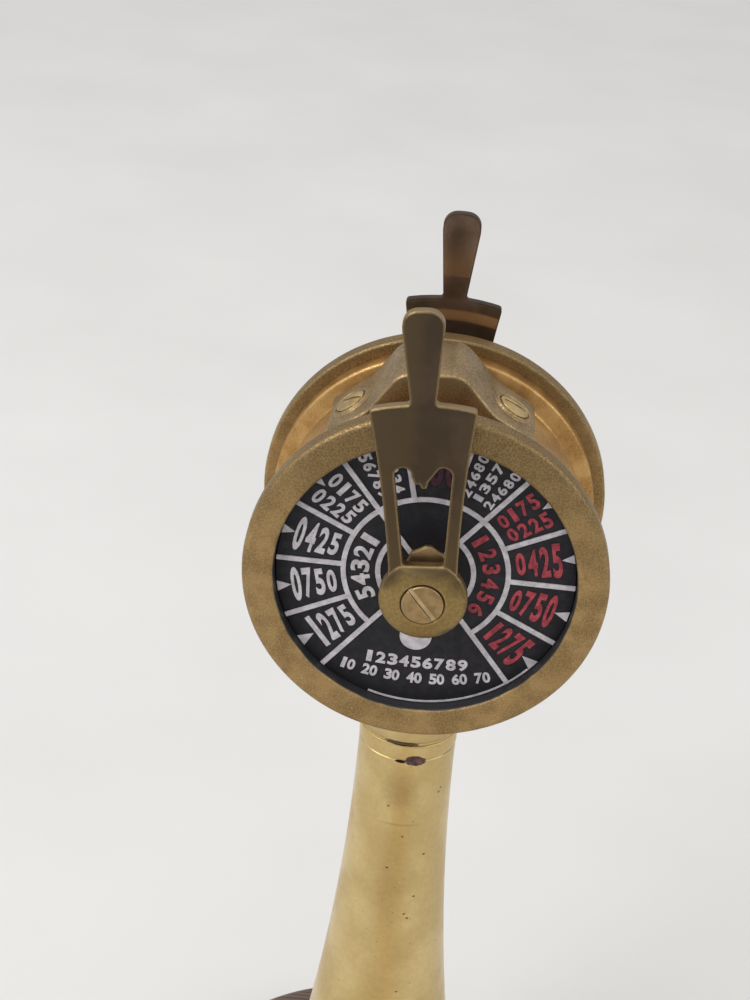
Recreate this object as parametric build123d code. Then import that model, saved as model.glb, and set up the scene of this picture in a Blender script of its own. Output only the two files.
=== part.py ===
from build123d import *
from math import atan2, cos, degrees, radians, sin, sqrt
import os

# Desk-model ship engine telegraph: a two-faced cast brass head on a turned column and wooden base.
# Millimetres. Z is up, the front face looks along -Y, and the origin is the middle of the underside.

# ---- Driving dimensions --------------------------------------------------------------------------
# Foot and column
felt_thickness = 1.0
felt_inset = 2.0                # felt edge in from the wooden edge
base_radius = 45.5
base_thickness = 11.0
base_edge_round = 2.5
base_bottom_round = 1.0
column_height = 111.0
column_top_radius = 10.4
column_taper_radius = 545.0     # long hollow curve of the shaft
column_cove_start = 30.0        # height above the base where the shaft begins to spread into its foot
column_foot_radius = 33.5
column_foot_lip = 3.5
column_foot_round = 1.0
column_wall = 3.2
spigot_radius = 6.5             # head spigot that stands inside the top of the column
spigot_length = 12.0
socket_play = 2.0               # below the spigot, inside the column
neck_ring_height = 3.7
neck_ring_lip = 0.1             # ring and neck stand this much proud of the column's top
neck_groove = 0.6               # shadow groove between the ring and the head
neck_groove_depth = 0.7
neck_rise = 14.2                # from the groove up to the underside of the drum

# Head
head_depth = 41.2               # over both bezel faces
aperture_radius = 29.7          # opening of the bezel, in which the dial shows
bezel_overhang = 2.4            # bezel rim beyond the drum's bead
bezel_depth = 4.4
bezel_outer_round = 1.1
bezel_inner_round = 0.7
bead_wall = 3.05                # raised ring of the drum round each dial, behind the bezel
bead_width = 3.7
bead_slope = 0.6
groove_wall = 1.9               # drum wall in the cove between bead and band
band_rise = 1.1                 # broad middle band above the cove
band_width = 17.0
bridge_width = 13.0             # upright bar inside the drum that carries the centre post
bridge_thickness = 6.0
boss_radius = 8.0
dial_thickness = 1.2            # of the flange
dial_rise = 1.6                 # the face stands this far into the bezel's opening
dial_gap = 0.15                 # round the raised face, inside the bezel
dial_lap = 0.8                  # how far the dial's flange reaches under the bezel
dial_seat = 2.5                 # width of the drum's shoulder behind the dial
dial_play = 0.1
rib_height = 0.25               # raised lines of the dial
rib_width = 1.0
rib_inset = 0.1                 # raised lines stop this far inside the edge of the face
pattern_rise = 0.85             # the pattern of lines is cast this far above the middle of the dial
dial_sectors = 14               # equal sectors round the dial; the lowest three are one
dial_plain_sectors = 3
inner_arc_radius = 16.2
centre_arc_radius = 9.4
dial_open_sectors = 3           # top sectors over which the centre arc is left out
long_line_start = 5.2           # the lines beside them run in to this radius

# Hood on top of the drum
hood_rise = 8.0                 # flat top above the band
hood_top_half = 6.2
hood_knee_angle = 21.8          # where the flank meets the foot, from the hood's middle, in degrees
hood_knee_rise = 2.4
hood_foot_angle = 38.3
hood_foot_rise = 1.75
hood_round = 5.0
hood_wall = 1.6
hood_turn = 4.4                 # the hood sits a little to the left of the crown, in degrees
hood_screw_head_radius = 3.2
hood_screw_head_height = 1.0
hood_screw_radius = 1.3
hood_screw_place = 0.45         # share of the way from knee to foot
hood_screw_length = 4.6
hood_screw_round = 0.35
hood_screw_slot = 0.7
hood_flank_wall = 4.0           # across the foot of a flank, inside the hump

# Levers and their pivots
lever_standoff = 4.4            # air between bezel face and lever
lever_thickness = 2.0
lever_overhang = 5.2            # wide plate beyond the bezel, where the grip begins
grip_length = 18.5
grip_tip_half = 3.85
grip_tip_round = 2.9
grip_neck_half = 2.35
grip_neck_rise = 0.7            # narrowest place of the grip, above the shoulder
shoulder_half = 10.0
waist_half = 7.95               # half width beside the window's top
waist_drop = 3.7                # waist below the window's top
arm_half = 6.4                  # half width where the arms reach the hub
lever_corner_round = 0.8
window_inset = 1.2              # window's top inside the bezel's opening
window_bottom = 7.4
window_bottom_half = 3.9
window_top_half = 5.45
notch_radius = 1.75
tongue_shoulder_half = 1.6      # tongue between the notches, measured down from their middles
tongue_shoulder_drop = 1.2
tongue_nib_half = 0.65
tongue_nib_drop = 1.9
tongue_tip_half = 0.3
tongue_tip_drop = 2.95
hub_radius = 8.6
hub_dome = 2.4
hub_overlap = 0.5               # the dome is drawn this deep into the plate
dome_end = 6.5                  # the dome stops this far above the pivot, short of the window
screw_head_radius = 3.95
screw_head_height = 1.65
screw_head_round = 0.3
screw_recess = 1.9
screw_slot_width = 0.9
screw_slot_depth = 0.8
screw_thread_radius = 2.0
screw_length = 12.0
slot_turn = 50.0                # screw slots stand at this angle, in degrees
post_radius = 4.5
journal_radius = 3.0
pointer_thickness = 1.2
pointer_boss_radius = 6.0
pointer_shoulder = 8.4
pointer_shoulder_half = 3.2
pointer_nib = 9.1               # root of the nib
pointer_nib_half = 1.8
pointer_tip = 10.0
pointer_tip_half = 0.6
pointer_flank_angle = 30.0      # the flanks leave the boss at this angle above level
spring_height = 0.7             # dished friction washer
spring_thickness = 0.35
spring_outer_radius = 5.4
front_lever_rest = -5.2         # how the front lever stands, in degrees clockwise from upright
rear_lever_rest = 0.0

# Tie rod through the column
rod_radius = 2.5
rod_engagement = 16.0           # thread inside the head spigot
nut_across_flats = 8.0
nut_height = 4.0
washer_radius = 7.5
washer_thickness = 1.0
rod_end = 1.0                   # rod end proud of the nut

# Fits and clearances
fit = 0.05                      # radial clearance of a fixed or a running fit
running_gap = 0.25              # end play beside each moving piece
recess_gap = 0.3                # round screw heads that stand in a recess
seat_gap = 0.15                 # below the head of a pivot screw
end_gap = 0.5                   # hole left beyond the end of a rod or screw
cut = 1.0                       # cutting shapes reach this far past the surface they cut

# ---- Places worked out from the dimensions -------------------------------------------------------
base_top = felt_thickness + base_thickness
column_top = base_top + column_height
ring_top = column_top + neck_ring_height
neck_radius = column_top_radius + neck_ring_lip

dial_radius = aperture_radius + dial_lap
bead_radius = dial_radius + fit + bead_wall
bezel_radius = bead_radius + bezel_overhang
drum_bore = dial_radius - dial_seat
groove_radius = drum_bore + groove_wall
band_radius = groove_radius + band_rise
axis_height = ring_top + neck_groove + neck_rise + band_radius

half_depth = head_depth / 2
bezel_back = half_depth - bezel_depth
dial_flange = bezel_back - dial_play
dial_face = dial_flange + dial_rise
dial_back = dial_flange - dial_thickness
face_radius = aperture_radius - dial_gap
bead_inner = bezel_back - bead_width

window_top = aperture_radius - window_inset
waist = window_top - waist_drop
shoulder_radius = bezel_radius + lever_overhang
lever_length = shoulder_radius + grip_length
lever_back = half_depth + lever_standoff
lever_front = lever_back + lever_thickness
dome_top = lever_front + hub_dome
recess_floor = dome_top - screw_recess
spring_top = lever_back - running_gap
pointer_top = spring_top - spring_height - running_gap
pointer_bottom = pointer_top - pointer_thickness
post_shoulder = pointer_bottom - running_gap
journal_end = recess_floor + seat_gap

# Head pieces are drawn face up, with the lever axis as Z, then stood on the front or the rear side.
front_side = Plane(origin=(0, 0, axis_height), x_dir=(1, 0, 0), z_dir=(0, -1, 0)).location
rear_side = Plane(origin=(0, 0, axis_height), x_dir=(-1, 0, 0), z_dir=(0, 1, 0)).location
sides = {"front": front_side, "rear": rear_side}


def turned(corners):
    """A solid of revolution about Z from (radius, height) corners."""
    return revolve(Plane.XZ * make_face(Polyline(*corners, close=True)), Axis.Z)


def tube(outer, inner, bottom, top):
    """A plain tube about Z."""
    return turned([(inner, bottom), (outer, bottom), (outer, top), (inner, top)])


def rod(radius, bottom, top):
    """A plain round bar about Z."""
    return Pos(0, 0, bottom) * Cylinder(radius, top - bottom, align=(Align.CENTER, Align.CENTER, Align.MIN))


def block(width, depth, bottom, top):
    """A box centred on Z."""
    return Pos(0, 0, bottom) * Box(width, depth, top - bottom, align=(Align.CENTER, Align.CENTER, Align.MIN))


def plate(outline, bottom, top):
    """A flat outline given thickness from bottom to top."""
    return Pos(0, 0, bottom) * extrude(make_face(outline), top - bottom)


def mirrored(points):
    """The left-hand images of right-hand points."""
    return [(-x, y) for x, y in points]


# ---- Base and column -----------------------------------------------------------------------------
rod_bottom = felt_thickness + end_gap
nut_bottom = rod_bottom + rod_end
nut_top = nut_bottom + nut_height
washer_top = nut_top + washer_thickness


def make_base_felt():
    """Thin felt disc glued under the base."""
    return rod(base_radius - felt_inset, 0, felt_thickness)


def make_base_plate():
    """Turned wooden disc, bored for the tie rod and counterbored for its nut."""
    disc = rod(base_radius, felt_thickness, base_top)
    disc = fillet(disc.edges().sort_by(Axis.Z)[-1], base_edge_round)
    disc = fillet(disc.edges().sort_by(Axis.Z)[0], base_bottom_round)
    bore = rod(rod_radius + fit, felt_thickness, base_top)
    counterbore = rod(washer_radius + recess_gap, felt_thickness, washer_top)
    return disc - bore - counterbore


def shaft_radius(height):
    """Radius of the tapered shaft at a height above the base."""
    drop = column_height - height
    return column_top_radius + column_taper_radius - sqrt(column_taper_radius ** 2 - drop ** 2)


def make_column():
    """Turned brass column: tapered shaft, cove and lipped foot, hollow inside."""
    cove_start = (shaft_radius(column_cove_start), column_cove_start)
    shaft_middle = (column_height + column_cove_start) / 2
    shaft = ThreePointArc(
        (column_top_radius, column_height), (shaft_radius(shaft_middle), shaft_middle), cove_start
    )
    cove_end = (column_foot_radius - column_foot_round, column_foot_lip)
    cove = TangentArc(cove_start, cove_end, tangent=shaft % 1)
    lip = Polyline(
        cove_end,
        (column_foot_radius, column_foot_lip - column_foot_round),
        (column_foot_radius, 0),
        (0, 0),
        (0, column_height),
        (column_top_radius, column_height),
    )
    outside = revolve(Plane.XZ * make_face(shaft + cove + lip), Axis.Z)
    socket_bottom = column_height - spigot_length - socket_play
    hollow = turned([
        (0, 0),
        (cove_start[0], 0),
        (cove_start[0], column_foot_lip),
        (cove_start[0] - column_wall, column_cove_start),
        (shaft_radius(shaft_middle) - column_wall, shaft_middle),
        (spigot_radius + fit, socket_bottom),
        (spigot_radius + fit, column_height),
        (0, column_height),
    ])
    return Pos(0, 0, base_top) * (outside - hollow)


def make_neck_ring():
    """Plain ring clamped between the column and the head."""
    return tube(neck_radius, spigot_radius + fit, column_top, ring_top)


def make_tie_rod():
    """Threaded rod that pulls the head, ring and column down on the base."""
    return rod(rod_radius, rod_bottom, column_top - spigot_length + rod_engagement)


def make_tie_rod_nut():
    """Hexagon nut in the counterbore under the base."""
    hexagon = RegularPolygon(nut_across_flats / 2, 6, major_radius=False)
    return Pos(0, 0, nut_bottom) * extrude(hexagon, nut_height) - rod(rod_radius + fit, 0, base_top)


def make_tie_rod_washer():
    """Flat washer above the nut."""
    return tube(washer_radius, rod_radius + fit, nut_top, washer_top)


# ---- Head ----------------------------------------------------------------------------------------
def make_head_drum():
    """Cast drum with its neck, the inner bridge for the centre post and the spigot for the column."""
    band_half = band_width / 2
    groove_middle = (band_half + bead_inner) / 2
    half = [
        (drum_bore, 0),
        (band_radius, 0),
        (band_radius, band_half),
        (groove_radius, groove_middle),
        (groove_radius, bead_inner - bead_slope),
        (bead_radius, bead_inner),
        (bead_radius, bezel_back),
        (dial_radius + fit, bezel_back),
        (dial_radius + fit, dial_back),
        (drum_bore, dial_back),
    ]
    shell = turned(half)
    shell += mirror(shell, Plane.XY)
    drum = front_side * shell
    inside = front_side * rod(drum_bore, -dial_back, dial_back)
    neck = rod(neck_radius, ring_top + neck_groove, axis_height - drum_bore)
    neck += rod(neck_radius - neck_groove_depth, ring_top, ring_top + neck_groove)
    neck += rod(spigot_radius, column_top - spigot_length, ring_top)
    neck -= inside
    bar = block(bridge_width, bridge_thickness, axis_height - drum_bore - cut, axis_height + drum_bore + cut)
    boss = front_side * rod(boss_radius, -bridge_thickness, bridge_thickness)
    rod_hole = rod(rod_radius + fit, 0, column_top - spigot_length + rod_engagement)
    drum = drum + neck + bar + boss - rod_hole - front_side * rod(post_radius + fit, -half_depth, half_depth)
    return drum - screw_holes()


def make_bezel():
    """Heavy ring that closes one side of the drum and frames the dial."""
    face = Plane.XZ * make_face(Polyline(
        (aperture_radius, bezel_back),
        (bezel_radius, bezel_back),
        (bezel_radius, half_depth),
        (aperture_radius, half_depth),
        close=True,
    ))
    ring = revolve(face, Axis.Z)
    front_edges = ring.edges().filter_by(GeomType.CIRCLE).group_by(Axis.Z)[-1].sort_by(SortBy.RADIUS)
    ring = fillet(front_edges[-1], bezel_outer_round)
    front_edges = ring.edges().filter_by(GeomType.CIRCLE).group_by(Axis.Z)[-1].sort_by(SortBy.RADIUS)
    return fillet(front_edges[0], bezel_inner_round)


def rib_line(angle, inner):
    """One raised radial line of the dial; the angle runs clockwise from the top, in degrees."""
    bar = block(rib_width, dial_radius - inner, dial_flange, dial_face + rib_height)
    return Rot(0, 0, -angle) * Pos(0, (inner + dial_radius) / 2, 0) * bar


def wedge(first, last):
    """A cutter over the dial between two angles, clockwise from the top, less than a half turn apart."""
    reach = 3 * dial_radius
    corners = [(0, 0)]
    for angle in (first, (first + last) / 2, last):
        corners.append((reach * sin(radians(angle)), reach * cos(radians(angle))))
    return plate(Polyline(*corners, close=True), dial_flange - cut, dial_face + cut)


def arc_rib(radius, *gaps):
    """One raised arc of the dial, open between the angles of each gap."""
    ring = tube(radius + rib_width / 2, radius - rib_width / 2, dial_flange, dial_face + rib_height)
    for first, last in gaps:
        ring -= wedge(first, last)
    return ring


def make_dial():
    """Flanged plate whose raised face, with the lines that part its orders, stands inside the bezel."""
    pitch = 360 / dial_sectors
    ordered_sectors = dial_sectors - dial_plain_sectors
    last_line = ordered_sectors / 2
    open_line = dial_open_sectors / 2
    plain_gap = (last_line * pitch, 360 - last_line * pitch)
    open_gap = (-open_line * pitch, open_line * pitch)
    lines = arc_rib(inner_arc_radius, plain_gap) + arc_rib(centre_arc_radius, plain_gap, open_gap)
    starts = {last_line: centre_arc_radius, open_line: long_line_start}
    for step in range(ordered_sectors + 1):
        line = step - last_line
        lines += rib_line(line * pitch, starts.get(abs(line), inner_arc_radius))
    lines = Pos(0, pattern_rise, 0) * lines
    lines &= rod(face_radius - rib_inset, dial_flange, dial_face + rib_height)
    disc = rod(dial_radius, dial_back, dial_flange) + rod(face_radius, dial_back, dial_face)
    return disc + lines - rod(post_radius + fit, 0, half_depth)


# ---- Hood ----------------------------------------------------------------------------------------
def on_drum(angle, rise):
    """A point at an angle clockwise from the crown, and a rise above the band."""
    return ((band_radius + rise) * sin(radians(angle)), (band_radius + rise) * cos(radians(angle)))


hood_top = band_radius + hood_rise
hood_knee = on_drum(hood_knee_angle, hood_knee_rise)
hood_foot = on_drum(hood_foot_angle, hood_foot_rise)
foot_slope = degrees(atan2(hood_knee[1] - hood_foot[1], hood_foot[0] - hood_knee[0]))
screw_seat = [knee + (foot - knee) * hood_screw_place for knee, foot in zip(hood_knee, hood_foot)]


def hood_place():
    """Where the hood is, from its own drawing plane to the head."""
    return front_side * Rot(0, 0, hood_turn)


def hood_screw_places():
    """Seats of the two hood screws, each with Z along its screw."""
    places = []
    for side in (1, -1):
        seat = Pos(side * screw_seat[0], screw_seat[1], 0)
        places.append(hood_place() * seat * Rot(0, 0, -side * foot_slope) * Rot(-90, 0, 0))
    return places


def screw_holes():
    """Holes of the two hood screws, through hood foot and drum wall."""
    bottom = -hood_screw_length - end_gap
    holes = [place * rod(hood_screw_radius + fit, bottom, cut) for place in hood_screw_places()]
    return holes[0] + holes[1]


def make_hood():
    """Saddle casting on the crown of the drum: raised hollow hump, closed at both ends, and two feet."""
    right = [(hood_top_half, hood_top), hood_knee, hood_foot]
    top_line = FilletPolyline(*reversed(mirrored(right)), *right, radius=hood_round)
    low = Polyline(hood_foot, (hood_foot[0], 0), (-hood_foot[0], 0), (-hood_foot[0], hood_foot[1]))
    body = plate(top_line + low, -band_width / 2, band_width / 2)
    seat = rod(band_radius + fit, -band_width, band_width)
    inner_right = [
        (hood_top_half - hood_wall, hood_top - hood_wall),
        (hood_knee[0] - hood_flank_wall, band_radius * cos(radians(hood_knee_angle))),
    ]
    hollow = plate(
        Polyline(*inner_right, *reversed(mirrored(inner_right)), close=True),
        hood_wall - band_width / 2,
        band_width / 2 - hood_wall,
    )
    return hood_place() * (body - seat - hollow) - screw_holes()


def make_hood_screws():
    """Two slotted screws through the hood feet."""
    slot_length = 2 * (hood_screw_head_radius + cut)
    slot = Pos(0, 0, hood_screw_head_height) * Box(slot_length, hood_screw_slot, hood_screw_head_height)
    screw = rod(hood_screw_head_radius, 0, hood_screw_head_height)
    screw = fillet(screw.edges().sort_by(Axis.Z)[-1], hood_screw_round)
    screw = screw + rod(hood_screw_radius, -hood_screw_length, 0) - slot
    return Compound(children=[place * screw for place in hood_screw_places()])


# ---- Pivots, pointers and levers -----------------------------------------------------------------
def make_centre_post():
    """Post through the drum: a journal with a threaded hole at each end for lever and pointer."""
    post = rod(post_radius, -post_shoulder, post_shoulder)
    post += rod(journal_radius, -journal_end, journal_end)
    depth = journal_end - screw_length
    hole = rod(screw_thread_radius + fit, depth, journal_end)
    return front_side * (post - hole - mirror(hole, Plane.XY))


def make_pivot_screw():
    """Slotted screw whose head keeps the lever on its journal."""
    head = rod(screw_head_radius, journal_end, journal_end + screw_head_height)
    head_top = journal_end + screw_head_height
    head = fillet(head.edges().sort_by(Axis.Z)[-1], screw_head_round)
    slot_length = 2 * (screw_head_radius + cut)
    slot = Rot(0, 0, -slot_turn) * block(slot_length, screw_slot_width, head_top - screw_slot_depth, head_top + cut)
    return head + rod(screw_thread_radius, journal_end - screw_length + end_gap, journal_end) - slot


def make_friction_washer():
    """Dished spring washer between pointer and lever; its drag holds the lever where it is left."""
    inner = journal_radius + fit
    low = spring_top - spring_height
    return turned([
        (inner, low),
        (spring_outer_radius, spring_top - spring_thickness),
        (spring_outer_radius, spring_top),
        (inner, low + spring_thickness),
    ])


def make_reply_pointer():
    """Short broad pointer that answers the lever's order."""
    flank = radians(pointer_flank_angle)
    right = [
        (pointer_boss_radius * cos(flank), pointer_boss_radius * sin(flank)),
        (pointer_shoulder_half, pointer_shoulder),
        (pointer_nib_half, pointer_nib),
        (pointer_tip_half, pointer_tip),
    ]
    outline = Polyline(*right, *reversed(mirrored(right)), close=True)
    pointer = rod(pointer_boss_radius, pointer_bottom, pointer_top) + plate(outline, pointer_bottom, pointer_top)
    return pointer - rod(journal_radius + fit, 0, lever_back)


def lever_window():
    """Opening between the lever's arms, with two round notches and a tongue at its top."""
    notch_x = window_top_half - notch_radius
    notch_y = window_top - notch_radius
    right = [(window_bottom_half, window_bottom), (window_top_half, notch_y)]
    opening = make_face(Polyline(*right, *reversed(mirrored(right)), close=True))
    opening += Pos(notch_x, notch_y) * Circle(notch_radius)
    opening += Pos(-notch_x, notch_y) * Circle(notch_radius)
    tongue_right = [
        (notch_x - notch_radius, notch_y),
        (tongue_shoulder_half, notch_y - tongue_shoulder_drop),
        (tongue_nib_half, notch_y - tongue_nib_drop),
        (tongue_tip_half, notch_y - tongue_tip_drop),
    ]
    return opening - make_face(Polyline(*tongue_right, *reversed(mirrored(tongue_right)), close=True))


def make_lever(rest_angle):
    """Flat lever: grip, wide plate, two arms round a window, and a domed hub."""
    shoulder = (shoulder_half, sqrt(shoulder_radius ** 2 - shoulder_half ** 2))
    arm = (arm_half, 0)
    side = [arm, (waist_half, waist), shoulder]
    blade = make_face(
        ThreePointArc(*side)
        + ThreePointArc(shoulder, (0, shoulder_radius), *mirrored([shoulder]))
        + ThreePointArc(*reversed(mirrored(side)))
        + Line(*mirrored([arm]), arm)
    )
    blade = fillet(blade.vertices().filter_by(lambda corner: corner.Y > waist), lever_corner_round)
    grip_side = [
        (grip_neck_half, waist + notch_radius),
        (grip_neck_half, shoulder_radius + grip_neck_rise),
        (grip_tip_half, lever_length),
    ]
    grip = make_face(Polyline(*grip_side, *reversed(mirrored(grip_side)), close=True))
    grip = fillet(grip.vertices().group_by(Axis.Y)[-1], grip_tip_round)
    flat = blade + grip + Circle(hub_radius) - lever_window()
    lever = Pos(0, 0, lever_back) * extrude(flat, lever_thickness)
    dome_radius = (hub_radius ** 2 + hub_dome ** 2) / (2 * hub_dome)
    dome = Pos(0, 0, dome_top - dome_radius) * Sphere(dome_radius)
    dome &= rod(hub_radius, lever_front - hub_overlap, dome_top)
    dome -= Pos(0, dome_end, lever_front) * Box(
        2 * hub_radius, hub_radius, 2 * dome_top, align=(Align.CENTER, Align.MIN, Align.CENTER)
    )
    lever = lever + dome
    lever -= rod(journal_radius + fit, lever_back - cut, dome_top)
    lever -= rod(screw_head_radius + recess_gap, recess_floor, dome_top + cut)
    return Rot(0, 0, -rest_angle) * lever


# ---- All sub-parts -------------------------------------------------------------------------------
parts = {
    "base_felt": make_base_felt(),
    "base_plate": make_base_plate(),
    "column": make_column(),
    "neck_ring": make_neck_ring(),
    "tie_rod": make_tie_rod(),
    "tie_rod_nut": make_tie_rod_nut(),
    "tie_rod_washer": make_tie_rod_washer(),
    "head_drum": make_head_drum(),
    "hood": make_hood(),
    "hood_screws": make_hood_screws(),
    "centre_post": make_centre_post(),
}
lever_rest = {"front": front_lever_rest, "rear": rear_lever_rest}
for side, place in sides.items():
    parts[side + "_bezel"] = place * make_bezel()
    parts[side + "_dial"] = place * make_dial()
    parts[side + "_pivot_screw"] = place * make_pivot_screw()
    parts[side + "_friction_washer"] = place * make_friction_washer()
    parts[side + "_reply_pointer"] = place * make_reply_pointer()
    parts[side + "_lever"] = place * make_lever(lever_rest[side])

os.makedirs("parts", exist_ok=True)
for name, shape in parts.items():
    export_step(shape, "parts/" + name + ".step")
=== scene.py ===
# %% [markdown]
# # A desk-model ship engine telegraph
# The real thing is a small brass ornament: a two-faced drum on a turned column and a wooden base, with a
# lever and a dial on each side. The CAD model is the fixed frame. This lesson dresses it: each visible
# part is modelled again with softer edges and small flaws, and each finish is built from nodes.

# %% Load the frame
from math import acos, atan2, cos, degrees, hypot, pi, radians, sin, sqrt

import bpy
from mathutils import Matrix, Vector


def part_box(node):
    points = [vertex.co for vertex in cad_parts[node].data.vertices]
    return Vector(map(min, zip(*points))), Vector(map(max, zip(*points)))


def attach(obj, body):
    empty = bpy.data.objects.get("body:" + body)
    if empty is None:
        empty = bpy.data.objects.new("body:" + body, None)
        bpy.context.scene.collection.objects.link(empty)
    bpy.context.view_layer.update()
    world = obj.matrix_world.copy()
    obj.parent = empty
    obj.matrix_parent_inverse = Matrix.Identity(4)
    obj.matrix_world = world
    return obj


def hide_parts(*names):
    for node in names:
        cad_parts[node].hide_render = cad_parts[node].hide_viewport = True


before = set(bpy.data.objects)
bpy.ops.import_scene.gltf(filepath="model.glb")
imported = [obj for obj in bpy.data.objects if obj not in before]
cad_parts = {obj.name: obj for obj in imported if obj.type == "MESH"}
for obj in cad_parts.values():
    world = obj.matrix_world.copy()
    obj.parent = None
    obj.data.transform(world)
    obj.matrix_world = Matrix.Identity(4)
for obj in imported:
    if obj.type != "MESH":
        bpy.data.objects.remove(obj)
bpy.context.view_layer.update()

# %% [markdown]
# ## Where things are
# The pieces are drawn on a bench in millimetres, because that is how a maker thinks of them. Only at the
# end is a piece brought down to metres and put in its place. Head pieces are drawn face up and then stood
# on the front or the rear, so both sides come from one drawing. The outer sizes come from the CAD boxes, and
# the sizes that a box can't tell, such as the bezel's opening, are typed in.

# %% Places taken from the CAD parts
MM = 0.001


def box_mm(node):
    """Lowest and highest corner of a CAD part, in millimetres."""
    low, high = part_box(node)
    return low / MM, high / MM


bezel_low, bezel_high = box_mm("front_bezel")
dial_low, dial_high = box_mm("front_dial")
lever_low, lever_high = box_mm("rear_lever")
column_low, column_high = box_mm("column")
base_low, base_high = box_mm("base_plate")
_, ring_high = box_mm("neck_ring")

AXIS = (bezel_low.z + bezel_high.z) / 2
BEZEL_RADIUS = (bezel_high.z - bezel_low.z) / 2
FACE = -bezel_low.y
BEZEL_BACK = -bezel_high.y
DIAL_BACK = -dial_high.y
LINE_TOP = -dial_low.y
APERTURE = 29.7
LEVER_BACK = lever_low.y
LEVER_TOP = lever_high.z - AXIS
BASE_TOP = column_low.z
COLUMN_TOP = column_high.z
RING_TOP = ring_high.z

UPRIGHT = Matrix.Scale(MM, 4)
FRONT = Matrix.Translation((0, 0, AXIS * MM)) @ Matrix.Rotation(pi / 2, 4, "X") @ UPRIGHT
REAR = Matrix.Rotation(pi, 4, "Z") @ FRONT
SIDES = {"front": FRONT, "rear": REAR}
print("axis", round(AXIS, 2), "face", round(FACE, 2), "lever back", round(LEVER_BACK, 2))

# %% [markdown]
# ## Camera
# The object is seen from a little above, slightly turned and tilted, as someone holding a camera by hand
# would see it. The camera could be aimed with a constraint, but a matrix built from the three directions
# right, up and forward says exactly where it stands and lets it roll.

# %% Camera
LENS = 71.64
AIM = Vector((-11.58, -4.6, AXIS + 8.63)) * MM
DISTANCE = 0.3981
AZIMUTH, ELEVATION, ROLL = radians(-1.69), radians(28.10), radians(5.338)

forward = Vector((sin(AZIMUTH) * cos(ELEVATION), cos(AZIMUTH) * cos(ELEVATION), -sin(ELEVATION)))
level = Vector((cos(AZIMUTH), -sin(AZIMUTH), 0))
upward = level.cross(forward)
right = level * cos(ROLL) + upward * sin(ROLL)
up = upward * cos(ROLL) - level * sin(ROLL)

bpy.ops.object.camera_add()
camera = bpy.context.object
camera.data.lens = LENS
camera.data.clip_start = 0.01
camera.matrix_world = Matrix.Translation(AIM - forward * DISTANCE) @ Matrix((
    (right.x, up.x, -forward.x, 0),
    (right.y, up.y, -forward.y, 0),
    (right.z, up.z, -forward.z, 0),
    (0, 0, 0, 1),
))
bpy.context.scene.camera = camera
print("camera at", camera.location)

# %% [markdown]
# ## Node helpers
# A finish is a chain of nodes. Writing each node by hand in many lines hides the idea, so one small helper
# adds a node and fills its inputs: a number or colour is typed in, and an output of another node is linked.

# %% Helpers for node trees
def colour(red, green, blue):
    """A colour written as seen on a screen, 0 to 255, turned into the light values that nodes use."""
    seen = [channel / 255 for channel in (red, green, blue)]
    return [c / 12.92 if c <= 0.04045 else ((c + 0.055) / 1.055) ** 2.4 for c in seen] + [1]


def add(tree, kind, inputs=None, **settings):
    """Add one node, set its properties, then type in or link its inputs."""
    made = tree.nodes.new("ShaderNode" + kind)
    for name, value in settings.items():
        setattr(made, name, value)
    for key, value in (inputs or {}).items():
        if isinstance(value, bpy.types.NodeSocket):
            tree.links.new(value, made.inputs[key])
        else:
            made.inputs[key].default_value = value
    return made


def ramp(tree, value, stops):
    """A colour ramp with (position, colour or grey) stops."""
    made = add(tree, "ValToRGB", {0: value})
    elements = made.color_ramp.elements
    while len(elements) < len(stops):
        elements.new(0.5)
    for element, (position, shade) in zip(elements, stops):
        element.position = position
        element.color = shade if isinstance(shade, list) else (shade, shade, shade, 1)
    return made.outputs[0]


def fade(tree, value, start, end, low=0.0, high=1.0):
    """Turn a value between start and end smoothly into one between low and high."""
    ends = {0: value, 1: start, 2: end, 3: low, 4: high}
    return add(tree, "MapRange", ends, interpolation_type="SMOOTHSTEP").outputs[0]


def blend_colours(tree, share, first, second):
    """Mix two colours by a share from 0 to 1."""
    return add(tree, "Mix", {0: share, 6: first, 7: second}, data_type="RGBA").outputs[2]


def part_blend(tree, mask, strength, first, second):
    """Mix in the second colour where a mask is, up to a strength."""
    return blend_colours(tree, maths(tree, "MULTIPLY", mask, strength), first, second)


def maths(tree, operation, first, second=0.0, clamp=False):
    """One sum of two values."""
    return add(tree, "Math", {0: first, 1: second}, operation=operation, use_clamp=clamp).outputs[0]


def new_group(name, inputs, outputs):
    """An empty shader node group with named number inputs and outputs."""
    tree = bpy.data.node_groups.new(name, "ShaderNodeTree")
    for title, value in inputs.items():
        tree.interface.new_socket(title, in_out="INPUT", socket_type="NodeSocketFloat").default_value = value
    for title, kind in outputs.items():
        tree.interface.new_socket(title, in_out="OUTPUT", socket_type="NodeSocket" + kind)
    return tree, tree.nodes.new("NodeGroupInput").outputs, tree.nodes.new("NodeGroupOutput").inputs


def bench_position(tree, squeeze=(1, 1, 1)):
    """Object coordinates in millimetres, squeezed along an axis where a pattern is drawn out."""
    position = add(tree, "TexCoord").outputs["Object"]
    factor = [share / MM for share in squeeze]
    return add(tree, "VectorMath", {0: position, 1: factor}, operation="MULTIPLY").outputs[0]


def use(tree, group, **values):
    """Place a group in a material, with its inputs typed in or linked."""
    made = tree.nodes.new("ShaderNodeGroup")
    made.node_tree = group
    for key, value in values.items():
        socket = made.inputs[key.replace("_", " ")]
        if isinstance(value, bpy.types.NodeSocket):
            tree.links.new(value, socket)
        else:
            socket.default_value = value
    return made.outputs


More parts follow.
